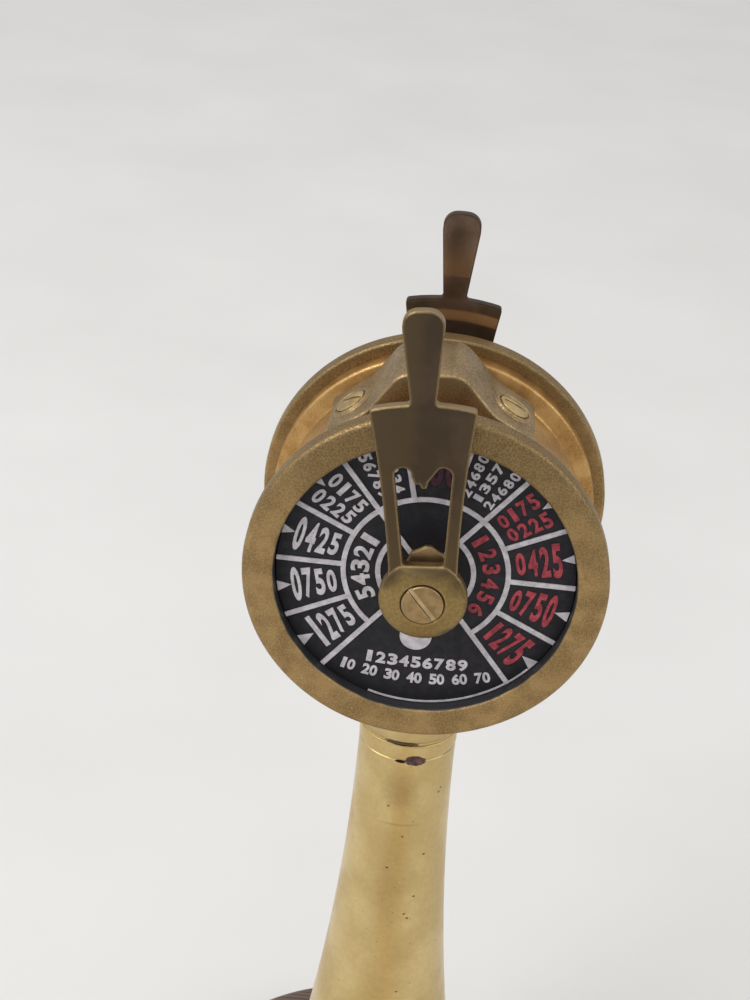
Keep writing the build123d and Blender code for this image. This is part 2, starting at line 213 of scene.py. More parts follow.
def new_material(name, **plain):
    """A material with its Principled shader; plain values go on the shader's own sockets."""
    made = bpy.data.materials.new(name)
    made.use_nodes = True
    shader = made.node_tree.nodes["Principled BSDF"]
    for key, value in plain.items():
        shader.inputs[key.replace("_", " ")].default_value = value
    return made, made.node_tree, shader.inputs


def connect(tree, shader, **sources):
    """Link values that change over the surface to the shader."""
    for key, source in sources.items():
        tree.links.new(source, shader[key.replace("_", " ")])


def bump(tree, height, depth_mm, normal=None):
    """A bump whose full height is given in millimetres."""
    inputs = {"Height": height, "Distance": depth_mm * MM, "Strength": 1.0}
    if normal is not None:
        inputs["Normal"] = normal
    return add(tree, "Bump", inputs).outputs[0]


# %% [markdown]
# ## Shared effects: grain, tarnish, rubbed edges, pits and scratches
# Sand-cast brass keeps the print of the sand, handled brass goes brown where fingers do not reach and
# bright where they rub, and turned brass shows small dark pits. These could be painted as pictures, but a
# node group works at any size and on any piece. The groups put out masks, heights, a softened normal and
# distances, and each finish turns them into its own colours.

# %% Casting grain
grain_group, given, put = new_group(
    "casting grain",
    {"Grain Size": 0.35, "Patch Size": 4.0},
    {"Height": "Float", "Speckle": "Float", "Patches": "Float"},
)
spot = bench_position(grain_group)
fine_scale = maths(grain_group, "DIVIDE", 1.0, given["Grain Size"])
patch_scale = maths(grain_group, "DIVIDE", 1.0, given["Patch Size"])
fine = add(grain_group, "TexNoise", {"Vector": spot, "Scale": fine_scale, "Detail": 4.0, "Roughness": 0.62})
lumps = add(grain_group, "TexNoise", {"Vector": spot, "Scale": patch_scale, "Detail": 3.0, "Roughness": 0.5})
sand = add(grain_group, "TexVoronoi", {"Vector": spot, "Scale": fine_scale, "Randomness": 1.0})
sand_height = fade(grain_group, sand.outputs["Distance"], 0.05, 0.75, 0.0, 0.5)
height = maths(grain_group, "ADD", maths(grain_group, "MULTIPLY", fine.outputs[0], 0.9), sand_height)
height = maths(grain_group, "ADD", height, maths(grain_group, "MULTIPLY", lumps.outputs[0], 0.5))
grain_group.links.new(height, put["Height"])
grain_group.links.new(fade(grain_group, fine.outputs[0], 0.36, 0.66), put["Speckle"])
grain_group.links.new(fade(grain_group, lumps.outputs[0], 0.35, 0.68), put["Patches"])

# %% Rubbed edges
rub_group, given, put = new_group(
    "rubbed edges",
    {"Reach": 0.4, "Raggedness": 0.3},
    {"Mask": "Float", "Soft Normal": "Vector"},
)
reach = maths(rub_group, "MULTIPLY", given["Reach"], MM)
softened = add(rub_group, "Bevel", {"Radius": reach}, samples=4).outputs[0]
true_normal = add(rub_group, "NewGeometry").outputs["Normal"]
alike = add(rub_group, "VectorMath", {0: softened, 1: true_normal}, operation="DOT_PRODUCT").outputs["Value"]
edge = fade(rub_group, alike, 0.998, 0.92)
spot = bench_position(rub_group)
ragged = add(rub_group, "TexNoise", {"Vector": spot, "Scale": 1.3, "Detail": 3.0}).outputs[0]
loss = maths(rub_group, "MULTIPLY", fade(rub_group, ragged, 0.4, 0.7), given["Raggedness"])
rub_group.links.new(maths(rub_group, "SUBTRACT", edge, loss, clamp=True), put["Mask"])
rub_group.links.new(softened, put["Soft Normal"])

# %% Dark pits and scratches
pit_group, given, put = new_group(
    "pits and scratches",
    {"Pit Spacing": 3.0, "Pit Share": 0.35},
    {"Pits": "Float", "Scratches": "Float"},
)
spot = bench_position(pit_group)
pit_scale = maths(pit_group, "DIVIDE", 1.0, given["Pit Spacing"])
cells = add(pit_group, "TexVoronoi", {"Vector": spot, "Scale": pit_scale})
wobble = add(pit_group, "TexNoise", {"Vector": spot, "Scale": 1.6, "Detail": 4.0}).outputs[0]
near = maths(pit_group, "ADD", cells.outputs["Distance"], maths(pit_group, "MULTIPLY", wobble, 0.16))
dot = fade(pit_group, near, 0.19, 0.14)
chosen = add(pit_group, "SeparateColor", {0: cells.outputs["Color"]}).outputs[0]
chosen = maths(pit_group, "LESS_THAN", chosen, given["Pit Share"])
pit_group.links.new(maths(pit_group, "MULTIPLY", dot, chosen), put["Pits"])
drawn_out = bench_position(pit_group, (6.0, 6.0, 0.5))
streaks = add(
    pit_group,
    "TexNoise",
    {"Vector": drawn_out, "Scale": 0.8, "Detail": 5.0, "Roughness": 0.7, "Distortion": 0.6},
)
pit_group.links.new(fade(pit_group, streaks.outputs[0], 0.60, 0.70), put["Scratches"])

# %% Distance from the lever axis
axis_group, given, put = new_group(
    "distance from axis",
    {"Axis Height": AXIS},
    {"Distance": "Float", "Across": "Float", "Up": "Float"},
)
parts = add(axis_group, "SeparateXYZ", {0: bench_position(axis_group)}).outputs
above = maths(axis_group, "SUBTRACT", parts["Z"], given["Axis Height"])
across_squared = maths(axis_group, "POWER", parts["X"], 2.0)
squares = maths(axis_group, "ADD", across_squared, maths(axis_group, "MULTIPLY", above, above))
axis_group.links.new(maths(axis_group, "SQRT", squares), put["Distance"])
axis_group.links.new(parts["X"], put["Across"])
axis_group.links.new(above, put["Up"])
print("node groups:", [group.name for group in bpy.data.node_groups])

# %% [markdown]
# ## Cast brass
# The bezels and the drum are sand cast and only brushed over, so they are matt and sandy, darker in the
# hollows and a little lighter on rims. The bezels also get painted shade that darkens them toward the crown
# of the head. A cast finish could be a plain rough metal, but the speckle is what the eye reads, so the
# colour, the roughness and the bump all follow the same grain.

# %% Cast brass materials
def cast_brass(
    name, hollow, body, light, grain=0.35, depth=0.016, rough=(0.42, 0.62), edge_share=0.5, sand=0.55,
    painted=0.0, painted_top_shade=0.0,
):
    """Matt cast brass from three colours: hollows, body and rubbed rims.

    Sand is the strength of the light speckle, painted the radius inside which the wall is black, and the
    last value how strongly painted shade darkens the brass toward the crown of the head.
    """
    made, tree, shader = new_material(name, Metallic=0.9)
    speckle = use(tree, grain_group, Grain_Size=grain, Patch_Size=5.0)
    rub = use(tree, rub_group, Reach=0.55, Raggedness=0.35)
    ground = blend_colours(tree, speckle["Patches"], hollow, body)
    place = use(tree, axis_group)
    # Painted shade: the brass is darkened toward the crown of the head.
    if painted_top_shade:
        dull = [channel * 0.62 for channel in hollow[:3]] + [1]
        ground = blend_colours(tree, fade(tree, place["Up"], 4.0, 32.0, 0.0, painted_top_shade), ground, dull)
    sandy = part_blend(tree, speckle["Speckle"], sand, ground, light)
    shade = part_blend(tree, rub["Mask"], edge_share, sandy, light)
    if painted:
        marks = use(tree, pit_group, Pit_Spacing=1.5, Pit_Share=0.3)
        flecks = maths(tree, "MULTIPLY", marks["Pits"], fade(tree, place["Up"], -10.0, -30.0))
        shade = blend_colours(tree, flecks, shade, colour(226, 200, 150))
        uneven = maths(tree, "ADD", place["Distance"], maths(tree, "MULTIPLY", speckle["Patches"], 0.12))
        black = fade(tree, uneven, painted + 0.15, painted - 0.05)
        shade = blend_colours(tree, black, shade, colour(44, 43, 45))
        connect(tree, shader, Metallic=fade(tree, black, 0.0, 1.0, 0.9, 0.1))
    connect(
        tree,
        shader,
        Base_Color=shade,
        Roughness=fade(tree, speckle["Speckle"], 0.0, 1.0, rough[1], rough[0]),
        Normal=bump(tree, speckle["Height"], depth, rub["Soft Normal"]),
    )
    return made


bezel_brass = cast_brass(
    "sandy bezel brass", colour(137, 113, 75), colour(164, 137, 94), colour(202, 174, 127),
    sand=0.27, painted=APERTURE + 0.15, painted_top_shade=0.8,
)
drum_brass = cast_brass(
    "drum brass", colour(164, 120, 66), colour(195, 155, 98), colour(228, 198, 138),
    rough=(0.34, 0.5), edge_share=0.8, sand=0.25,
)
hood_brass = cast_brass(
    "hood brass", colour(124, 103, 74), colour(150, 127, 94), colour(190, 165, 122),
    grain=0.5, depth=0.02, rough=(0.36, 0.5), edge_share=0.7,
)
print("cast brass ready")

# %% [markdown]
# ## Turned column brass
# The column was turned and lacquered: smooth, pale gold, with cloudy brown patches, small pits and specks
# that crowd on the front, and a dark red chip where the lacquer broke at the top joint. A tall brown streak
# down its front middle is a painted reflection, and a dark crescent in the neck groove and the dark right
# end of the top seam are painted shade. The chip has a real dent under it, so its mask is a soft ball of
# colour round the same point.

# %% Turned brass materials
CHIP = Vector((2.2, -10.2, COLUMN_TOP - 0.1))
PIT_PLACES = [
    (-2.4, -10.3, -12.3), (1.2, -10.7, -19.8), (6.2, -9.0, -25.0), (-1.4, -11.0, -28.2), (5.1, -10.4, -35.8),
    (3.4, -11.4, -40.2), (4.2, -11.2, -41.4), (3.6, -13.3, -60.9), (8.3, -6.5, -8.7), (7.9, -6.9, -9.6),
]


def blot(tree, place, stretch, start, end, raggedness=0.5):
    """A soft or sharp mark round a place on the column; stretch squeezes its reach along each axis."""
    position = bench_position(tree)
    away = add(tree, "VectorMath", {0: position, 1: place}, operation="SUBTRACT").outputs[0]
    away = add(tree, "VectorMath", {0: away, 1: stretch}, operation="MULTIPLY").outputs[0]
    far = add(tree, "VectorMath", {0: away}, operation="LENGTH").outputs["Value"]
    ragged = add(tree, "TexNoise", {"Vector": position, "Scale": 1.5, "Detail": 3.0}).outputs[0]
    return fade(tree, maths(tree, "ADD", far, maths(tree, "MULTIPLY", ragged, raggedness)), start, end)


def turned_brass(name, marked):
    """Lacquered brass of the column, the joint ring and the post."""
    made, tree, shader = new_material(name, Metallic=0.92, Coat_Weight=0.25, Coat_Roughness=0.25)
    clouds = use(tree, grain_group, Grain_Size=1.2, Patch_Size=12.0)
    crowd = 0.12
    if marked:
        cluster = blot(tree, (0, -11, COLUMN_TOP - 42), (0.1, 0.1, 0.045), 1.5, 0.7, 0.8)
        crowd = fade(tree, cluster, 0.0, 1.0, 0.2, 1.0)
    marks = use(tree, pit_group, Pit_Spacing=1.6, Pit_Share=crowd)
    clean = blend_colours(tree, clouds["Patches"], colour(200, 175, 118), colour(214, 190, 134))
    worn = part_blend(tree, clouds["Speckle"], 0.12, clean, colour(150, 118, 72))
    shade = part_blend(tree, marks["Scratches"], 0.25, worn, colour(232, 208, 150))
    dark = maths(tree, "MULTIPLY", marks["Pits"], 0.7)
    if marked:
        specks = use(tree, pit_group, Pit_Spacing=1.55, Pit_Share=maths(tree, "MULTIPLY", crowd, 0.6))
        shade = part_blend(tree, specks["Pits"], 0.6, shade, colour(240, 220, 160))
        top = Vector((0, 0, COLUMN_TOP))
        tarnish = blot(tree, top + Vector((-0.2, -10.4, -8.2)), (0.26, 0.2, 0.22), 1.6, 0.5)
        shade = part_blend(tree, tarnish, 0.5, shade, colour(156, 130, 84))
        # Painted reflection: a tall soft brown streak down the front middle of the column.
        low = blot(tree, top + Vector((-1.5, -11.0, -34.0)), (0.2, 0.2, 0.06), 1.6, 0.2)
        shade = part_blend(tree, low, 0.35, shade, colour(164, 132, 80))
        ring_mark = blot(tree, top + Vector((0.0, -10.6, -16.8)), (0.17, 0.3, 2.6), 1.2, 0.7)
        shade = part_blend(tree, ring_mark, 0.3, shade, colour(150, 116, 70))
        for place in PIT_PLACES:
            pit = blot(tree, top + Vector(place), (1.0, 1.0, 1.4), 0.62, 0.5)
            dark = maths(tree, "MAXIMUM", dark, pit)
        # Painted shade: a dark crescent in the groove above the joint ring.
        groove_shade = blot(tree, Vector((-1.0, -10.2, RING_TOP + 0.3)), (0.24, 0.3, 2.2), 1.25, 1.1)
        # Painted shade: the right end of the top seam is darkened.
        seam_shade = blot(tree, top + Vector((9.4, -4.7, 0)), (0.35, 0.3, 4.0), 1.3, 1.0)
        dark = maths(tree, "MAXIMUM", dark, seam_shade)
        # A dark crack beside the chip, with the groove's painted shade added to it.
        crack_and_groove_shade = blot(tree, top + Vector((-0.9, -10.35, -0.45)), (0.75, 0.4, 2.8), 1.24, 1.12)
        crack_and_groove_shade = maths(tree, "MAXIMUM", crack_and_groove_shade, maths(tree, "MULTIPLY", groove_shade, 0.85))
        chip = blot(tree, CHIP, (0.40, 0.38, 0.74), 1.24, 1.12)
    shade = part_blend(tree, dark, 0.85, shade, colour(92, 68, 36))
    if marked:
        shade = blend_colours(tree, crack_and_groove_shade, shade, colour(36, 22, 18))
        torn = blend_colours(tree, clouds["Speckle"], colour(58, 26, 28), colour(112, 72, 72))
        shade = blend_colours(tree, chip, shade, torn)
        connect(tree, shader, Metallic=fade(tree, chip, 0.0, 1.0, 0.92, 0.1))
    height = maths(tree, "SUBTRACT", maths(tree, "MULTIPLY", clouds["Height"], 0.5), dark)
    connect(
        tree,
        shader,
        Base_Color=shade,
        Roughness=fade(tree, clouds["Patches"], 0.0, 1.0, 0.42, 0.3),
        Normal=bump(tree, height, 0.02),
    )
    return made


column_brass = turned_brass("lacquered column brass", True)
post_brass = turned_brass("plain turned brass", False)

# %% [markdown]
# ## Lever brass and screw brass
# The levers went dark brown all over and were then handled, so their edges and the domed hub are gold
# again. One could paint the dark and the light by hand. Here the distance from the lever axis gives the
# gold hub, and the rubbed-edge mask and the direction of the narrow sides give the light outline. The rear
# lever gets its own copy of this finish with painted light: a paler face, a dark painted-shade outline and
# painted reflection bands across the plate and up the grip.

# %% Lever brass
# Radius of the painted reflection band across the rear lever's plate, and where its grip starts.
REFLECTION_BAND_RADIUS, GRIP_FOOT = 37.8, 46.0


def dark_brass(
    name, face, hub_reach, arm_reach, rough=(0.40, 0.36), edge=colour(176, 150, 106), painted_reflection=False,
):
    """Brown brass with rubbed edges, gold near the lever axis.

    The last switch adds two painted reflections on the inner face: one across the plate and one up the grip.
    """
    made, tree, shader = new_material(name)
    rub = use(tree, rub_group, Reach=0.75, Raggedness=0.2)
    grain = use(tree, grain_group, Grain_Size=0.6, Patch_Size=5.0)
    place = use(tree, axis_group)
    sideways = fade(tree, maths(tree, "ABSOLUTE", place["Across"]), 3.6, 6.4)
    roots = maths(tree, "MULTIPLY", sideways, fade(tree, place["Up"], 1.0, 5.0, 0.0, 0.75))
    wavy = maths(tree, "ADD", place["Distance"], maths(tree, "MULTIPLY", grain["Patches"], 1.5))
    gold = fade(tree, wavy, hub_reach + 1.8, hub_reach - 0.2)
    gold = maths(tree, "MULTIPLY", gold, fade(tree, place["Up"], 7.0, 4.6))
    warm = fade(tree, wavy, arm_reach, hub_reach, 0.0, 0.55)
    brown = blend_colours(tree, grain["Patches"], face, [min(1, c * 1.35) for c in face[:3]] + [1])
    brown = blend_colours(tree, warm, brown, colour(104, 86, 56))
    hub = blend_colours(tree, grain["Speckle"], colour(132, 110, 66), colour(150, 126, 78))
    shade = blend_colours(tree, gold, brown, hub)
    shade = blend_colours(tree, roots, shade, colour(84, 70, 50))
    facing = add(tree, "SeparateXYZ", {0: add(tree, "NewGeometry").outputs["Normal"]}).outputs["Y"]
    narrow_side = fade(tree, maths(tree, "ABSOLUTE", facing), 0.6, 0.3, 0.0, 0.65)
    rubbed = maths(tree, "MAXIMUM", rub["Mask"], narrow_side)
    # Painted reflection: light bands on the inner face, where the lit brass of the head would be mirrored.
    if painted_reflection:
        inner = fade(tree, facing, -0.3, -0.6)
        from_band = maths(tree, "ABSOLUTE", maths(tree, "SUBTRACT", place["Distance"], REFLECTION_BAND_RADIUS))
        band = fade(tree, from_band, 1.4, 0.9, 0.0, 0.75)
        grip_fade = fade(tree, place["Distance"], GRIP_FOOT + 10.0, GRIP_FOOT + 0.6)
        grip_start = fade(tree, place["Distance"], GRIP_FOOT, GRIP_FOOT + 0.5, 0.0, 0.3)
        grip = maths(tree, "MULTIPLY", grip_fade, grip_start)
        lit = maths(tree, "MULTIPLY", inner, maths(tree, "MAXIMUM", band, grip))
        shade = blend_colours(tree, lit, shade, colour(186, 146, 102))
    shade = part_blend(tree, rubbed, 0.9, shade, edge)
    connect(
        tree,
        shader,
        Base_Color=shade,
        Metallic=fade(tree, rubbed, 0.0, 1.0, 0.82, 0.95),
        Roughness=fade(tree, maths(tree, "MAXIMUM", gold, rubbed), 0.0, 1.0, *rough),
        Normal=bump(tree, grain["Height"], 0.015, rub["Soft Normal"]),
    )
    return made


lever_brass = dark_brass("handled lever brass", colour(70, 58, 46), 8.0, 24.0)
# Painted light: the rear lever, the same part as the front one, gets a paler face, dark painted-shade edges
# and painted reflection bands.
rear_lever_lit_copy = dark_brass(
    "rear lever brass with painted light", colour(104, 85, 70), 8.0, 26.0, (0.27, 0.6), colour(44, 33, 26), True
)
pointer_brass = dark_brass("dull pointer brass", colour(140, 116, 86), 2.0, 3.0)


def screw_brass(name, light, dark):
    """Screw heads: smooth, with small dark pits and lighter rubbed edges."""
    made, tree, shader = new_material(name, Metallic=0.92)
    marks = use(tree, pit_group, Pit_Spacing=1.4, Pit_Share=0.3)
    grain = use(tree, grain_group, Grain_Size=0.5, Patch_Size=2.0)
    rub = use(tree, rub_group, Reach=0.25, Raggedness=0.2)
    shade = blend_colours(tree, grain["Patches"], dark, light)
    shade = part_blend(tree, marks["Pits"], 0.6, shade, colour(90, 66, 36))
    shade = part_blend(tree, rub["Mask"], 0.6, shade, colour(228, 200, 140))
    connect(
        tree,
        shader,
        Base_Color=shade,
        Roughness=fade(tree, grain["Speckle"], 0.0, 1.0, 0.38, 0.28),
        Normal=bump(tree, grain["Height"], 0.01, rub["Soft Normal"]),
    )
    return made


pivot_brass = screw_brass("pivot screw brass", colour(166, 143, 106), colour(142, 120, 86))
slot_floor_painted_light = screw_brass("slot floor brass, painted light", colour(206, 184, 148), colour(184, 162, 126))
hood_screw_brass = screw_brass("hood screw brass", colour(204, 178, 128), colour(176, 150, 104))

# %% [markdown]
# ## Enamel, steel, wood and felt
# The dial is black enamel with pale and red filling in its lines and figures. The hidden rod, nut and
# washers are plain steel, the base is dark stained wood, and a thin felt protects the table.

# %% Enamel materials
def enamel(name, thin, thick, rough):
    """Brushed-in enamel: its colour is uneven where the paint is thin."""
    made, tree, shader = new_material(name, Specular_IOR_Level=0.3)
    grain = use(tree, grain_group, Grain_Size=0.5, Patch_Size=1.8)
    fine_cover = maths(tree, "MULTIPLY", grain["Speckle"], 0.3)
    cover = maths(tree, "ADD", maths(tree, "MULTIPLY", grain["Patches"], 0.7), fine_cover)
    connect(
        tree,
        shader,
        Base_Color=blend_colours(tree, cover, thin, thick),
        Roughness=fade(tree, grain["Patches"], 0.0, 1.0, rough + 0.12, rough),
        Normal=bump(tree, grain["Height"], 0.02),
    )
    return made


black_enamel = enamel("black enamel", colour(22, 21, 27), colour(31, 30, 37), 0.5)
pale_enamel = enamel("pale enamel", colour(170, 164, 170), colour(206, 201, 204), 0.55)
red_enamel = enamel("red enamel", colour(120, 44, 54), colour(180, 70, 78), 0.5)
faded_enamel = enamel("faded red enamel", colour(58, 30, 42), colour(92, 42, 56), 0.5)

# %% Steel for the parts inside
steel, tree, shader = new_material("plain steel", Metallic=1.0)
grain = use(tree, grain_group, Grain_Size=0.4, Patch_Size=3.0)
connect(
    tree,
    shader,
    Base_Color=blend_colours(tree, grain["Patches"], colour(120, 120, 122), colour(158, 158, 160)),
    Roughness=fade(tree, grain["Speckle"], 0.0, 1.0, 0.45, 0.3),
    Normal=bump(tree, grain["Height"], 0.01),
)

# %% Stained wood
dark_wood, tree, shader = new_material("dark stained wood", Coat_Weight=0.35, Coat_Roughness=0.22)
along = bench_position(tree, (0.06, 1.0, 1.0))
bend = add(tree, "TexNoise", {"Vector": along, "Scale": 0.12, "Detail": 3.0}).outputs[0]
waves = add(
    tree,
    "TexWave",
    {"Vector": along, "Scale": 0.22, "Distortion": 5.0, "Detail": 3.0, "Detail Scale": 1.2},
    bands_direction="Y",
).outputs[1]
pore_place = bench_position(tree, (0.25, 6.0, 6.0))
pores = add(tree, "TexNoise", {"Vector": pore_place, "Scale": 1.0, "Detail": 3.0}).outputs[0]
figure_mask = maths(tree, "MULTIPLY", waves, fade(tree, bend, 0.3, 0.7, 0.5, 1.0))
grain_colour = blend_colours(tree, figure_mask, colour(60, 42, 33), colour(104, 76, 58))
pore_mask = fade(tree, pores, 0.56, 0.66)
connect(
    tree,
    shader,
    Base_Color=part_blend(tree, pore_mask, 0.6, grain_colour, colour(38, 26, 20)),
    Roughness=fade(tree, waves, 0.0, 1.0, 0.5, 0.38),
    Normal=bump(tree, maths(tree, "SUBTRACT", waves, pore_mask), 0.03),
)

# %% Felt
felt, tree, shader = new_material("green felt", Roughness=0.95, Sheen_Weight=0.4, Sheen_Roughness=0.6)
fluff = {"Vector": bench_position(tree), "Scale": 3.0, "Detail": 6.0, "Roughness": 0.7}
nap = add(tree, "TexNoise", fluff).outputs[0]
connect(
    tree,
    shader,
    Base_Color=ramp(tree, nap, [(0.35, colour(22, 52, 38)), (0.65, colour(38, 82, 58))]),
    Normal=bump(tree, nap, 0.2),
)
print("materials:", len(bpy.data.materials))

# %% [markdown]
# ## Modelling helpers
# Nearly every part here is either turned on a lathe or cut from plate. For both, a line is drawn point by
# point: a plane is merged to a single corner, and that corner is pulled out again and again. A turned part
# is that line spun round Z. A plate is a closed line, filled and pulled up to its thickness.

# %% Drawing lines
def select_only(obj):
    """Make one object the only selected one, and the active one."""
    bpy.ops.object.select_all(action="DESELECT")
    obj.select_set(True)
    bpy.context.view_layer.objects.active = obj


def settle(obj):
    """Write an object's place, turn and size into its mesh."""
    select_only(obj)
    bpy.ops.object.transform_apply(location=True, rotation=True, scale=True)
    return obj


def edit(obj):
    """Open an object for editing with all of it selected."""
    select_only(obj)
    bpy.ops.object.mode_set(mode="EDIT")
    bpy.ops.mesh.select_all(action="SELECT")


def close_edit():
    """Back to object mode."""
    bpy.ops.object.mode_set(mode="OBJECT")


def draw_line(name, points, closed=False):
    """A line of edges through 3-D points."""
    bpy.ops.object.select_all(action="DESELECT")
    bpy.ops.mesh.primitive_plane_add(size=1, location=(0, 0, 0))
    obj = bpy.context.object
    obj.name = name
    edit(obj)
    bpy.ops.mesh.merge(type="CENTER")
    bpy.ops.transform.translate(value=points[0])
    path = list(points) + ([points[0]] if closed else [])
    for start, end in zip(path, path[1:]):
        step = [b - a for a, b in zip(start, end)]
        bpy.ops.mesh.extrude_vertices_move(TRANSFORM_OT_translate={"value": step})
    bpy.ops.mesh.select_all(action="SELECT")
    bpy.ops.mesh.remove_doubles(threshold=0.001)
    close_edit()
    return obj


def arc(centre, radius, start, end, steps):
    """Points along an arc; angles are in degrees, anticlockwise from the right."""
    angles = [radians(start + (end - start) * i / steps) for i in range(steps + 1)]
    return [(centre[0] + radius * cos(a), centre[1] + radius * sin(a)) for a in angles]


def through(first, middle, last, steps):
    """Points along the arc through three points."""
    ax, ay = middle[0] - first[0], middle[1] - first[1]
    bx, by = last[0] - first[0], last[1] - first[1]
    size = 2 * (ax * by - ay * bx)
    a2, b2 = ax * ax + ay * ay, bx * bx + by * by
    centre = (first[0] + (by * a2 - ay * b2) / size, first[1] + (ax * b2 - bx * a2) / size)
    turns = [degrees(atan2(p[1] - centre[1], p[0] - centre[0])) for p in (first, last)]
    sweep = (turns[1] - turns[0] + 180) % 360 - 180
    return arc(centre, hypot(first[0] - centre[0], first[1] - centre[1]), turns[0], turns[0] + sweep, steps)


def rounded(corners, radius, steps=4, closed=True):
    """Corners replaced by small arcs; a corner may give its own radius as a third number."""
    points = []
    count = len(corners)
    for i, corner in enumerate(corners):
        here = Vector(corner[:2])
        size = corner[2] if len(corner) > 2 else radius
        if size == 0 or (not closed and i in (0, count - 1)):
            points.append(tuple(here))
            continue
        before = (Vector(corners[i - 1][:2]) - here).normalized()
        after = (Vector(corners[(i + 1) % count][:2]) - here).normalized()
        half = acos(max(-1, min(1, before.dot(after)))) / 2
        run = size / max(sin(half), 1e-6) * cos(half)
        start, end = here + before * run, here + after * run
        centre = here + (before + after).normalized() * size / sin(half)
        for step in range(steps + 1):
            share = step / steps
            spoke = (start - centre).normalized().slerp((end - centre).normalized(), share)
            points.append(tuple(centre + spoke * size))
    return points


def spaced(points, longest):
    """The same line with extra points, so that no step is longer than asked."""
    made = [points[0]]
    for start, end in zip(points, points[1:]):
        pieces = max(1, round(hypot(end[0] - start[0], end[1] - start[1]) / longest))
        made += [
            tuple(a + (b - a) * i / pieces for a, b in zip(start, end)) for i in range(1, pieces + 1)
        ]
    return made


def mirrored(points):
    """The left-hand images of right-hand points, in reverse order."""
    return [(-x, y) for x, y in reversed(points)]


# %% Turning and cutting
def lathe(name, profile, steps=128, closed=True):
    """Turn a (radius, height) line round Z."""
    obj = draw_line(name, [(r, 0, z) for r, z in profile], closed)
    edit(obj)
    bpy.ops.mesh.spin(steps=steps, angle=2 * pi, center=(0, 0, 0), axis=(0, 0, 1))
    bpy.ops.mesh.select_all(action="SELECT")
    bpy.ops.mesh.remove_doubles(threshold=0.002)
    bpy.ops.mesh.normals_make_consistent(inside=False)
    close_edit()
    return obj


def join(parts, name):
    """Several objects made one."""
    bpy.ops.object.select_all(action="DESELECT")
    for part in parts:
        part.select_set(True)
    bpy.context.view_layer.objects.active = parts[0]
    bpy.ops.object.join()
    parts[0].name = name
    return parts[0]


def plate(name, outline, bottom, top, holes=()):
    """A flat outline, with holes, given thickness."""
    loops = [draw_line(name, [(x, y, bottom) for x, y in loop], True) for loop in (outline, *holes)]
    obj = join(loops, name) if len(loops) > 1 else loops[0]
    edit(obj)
    bpy.ops.mesh.fill()
    bpy.ops.mesh.select_all(action="SELECT")
    bpy.ops.mesh.extrude_region_move(TRANSFORM_OT_translate={"value": (0, 0, top - bottom)})
    bpy.ops.mesh.select_all(action="SELECT")
    bpy.ops.mesh.normals_make_consistent(inside=False)
    close_edit()
    return obj


def apply(obj, modifier):
    """Make a modifier part of the mesh."""
    select_only(obj)
    bpy.ops.object.modifier_apply(modifier=modifier.name)


def soften(obj, width, segments=3, angle=35):
    """Round the sharp edges."""
    modifier = obj.modifiers.new("soften", "BEVEL")
    modifier.width = width
    modifier.segments = segments
    modifier.limit_method = "ANGLE"
    modifier.angle_limit = radians(angle)
    apply(obj, modifier)
    return obj


def combine(obj, tool, operation):
    """Union, difference or intersection with another object, which is used up."""
    modifier = obj.modifiers.new("combine", "BOOLEAN")
    modifier.operation = operation
    modifier.object = tool
    modifier.solver = "EXACT"
    apply(obj, modifier)
    bpy.data.objects.remove(tool)
    return obj


def roughen(obj, depth, size):
    """Push the surface in and out a little, as a casting or a hand-polished part is."""
    texture = bpy.data.textures.new("unevenness", "CLOUDS")
    texture.noise_scale = size
    modifier = obj.modifiers.new("roughen", "DISPLACE")
    modifier.texture = texture
    modifier.strength = depth
    modifier.mid_level = 0.5
    apply(obj, modifier)
    return obj


def bar(width, depth, height, centre, turn=0.0, name="bar"):
    """A square bar, used for cutting slots and for ribs."""
    bpy.ops.object.select_all(action="DESELECT")
    bpy.ops.mesh.primitive_cube_add(
        size=1, location=centre, rotation=(0, 0, radians(turn)), scale=(width, depth, height)
    )
    bpy.context.object.name = name
    return settle(bpy.context.object)


# %% Setting a piece in its place
def own_copy(obj, name):
    """A copy with its own mesh."""
    made = obj.copy()
    made.data = obj.data.copy()
    made.name = name
    bpy.context.scene.collection.objects.link(made)
    return made


def set_down(obj, place, material, smooth=35):
    """Bring a bench piece to metres and to its place, shade it and give it its finish."""
    obj.matrix_world = place @ obj.matrix_world
    settle(obj)
    bpy.ops.object.shade_smooth_by_angle(angle=radians(smooth))
    obj.data.materials.clear()
    obj.data.materials.append(material)
    obj.data.name = obj.name
    return obj


def install(obj, body, slot, *nodes):
    """Let a piece ride on a body and stand for CAD nodes; the slot is not used."""
    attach(obj, body)
    if nodes:
        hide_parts(*nodes)
    print(obj.name, len(obj.data.polygons), "faces")


def both_sides(obj, title, material, body, slot, node=None, turns=(0, 0)):
    """Put one drawing on the front and a copy on the rear; {} in the body's name becomes the side."""
    copies = {"front": obj, "rear": own_copy(obj, "rear copy")}
    for (side, piece), turn in zip(copies.items(), turns):
        piece.name = side + "_" + title
        set_down(piece, SIDES[side] @ Matrix.Rotation(radians(turn), 4, "Z"), material)
        install(piece, body.format(side), slot, *([side + "_" + node] if node else []))


# %% [markdown]
# ## Bezels
# Each bezel is a heavy cast ring that frames the dial. It could be a torus, but its face is flat and only
# its rims are round, so a section is drawn and turned. Extra points on the section let the surface be
# pushed in and out slightly, which breaks up the highlights as on a real casting.

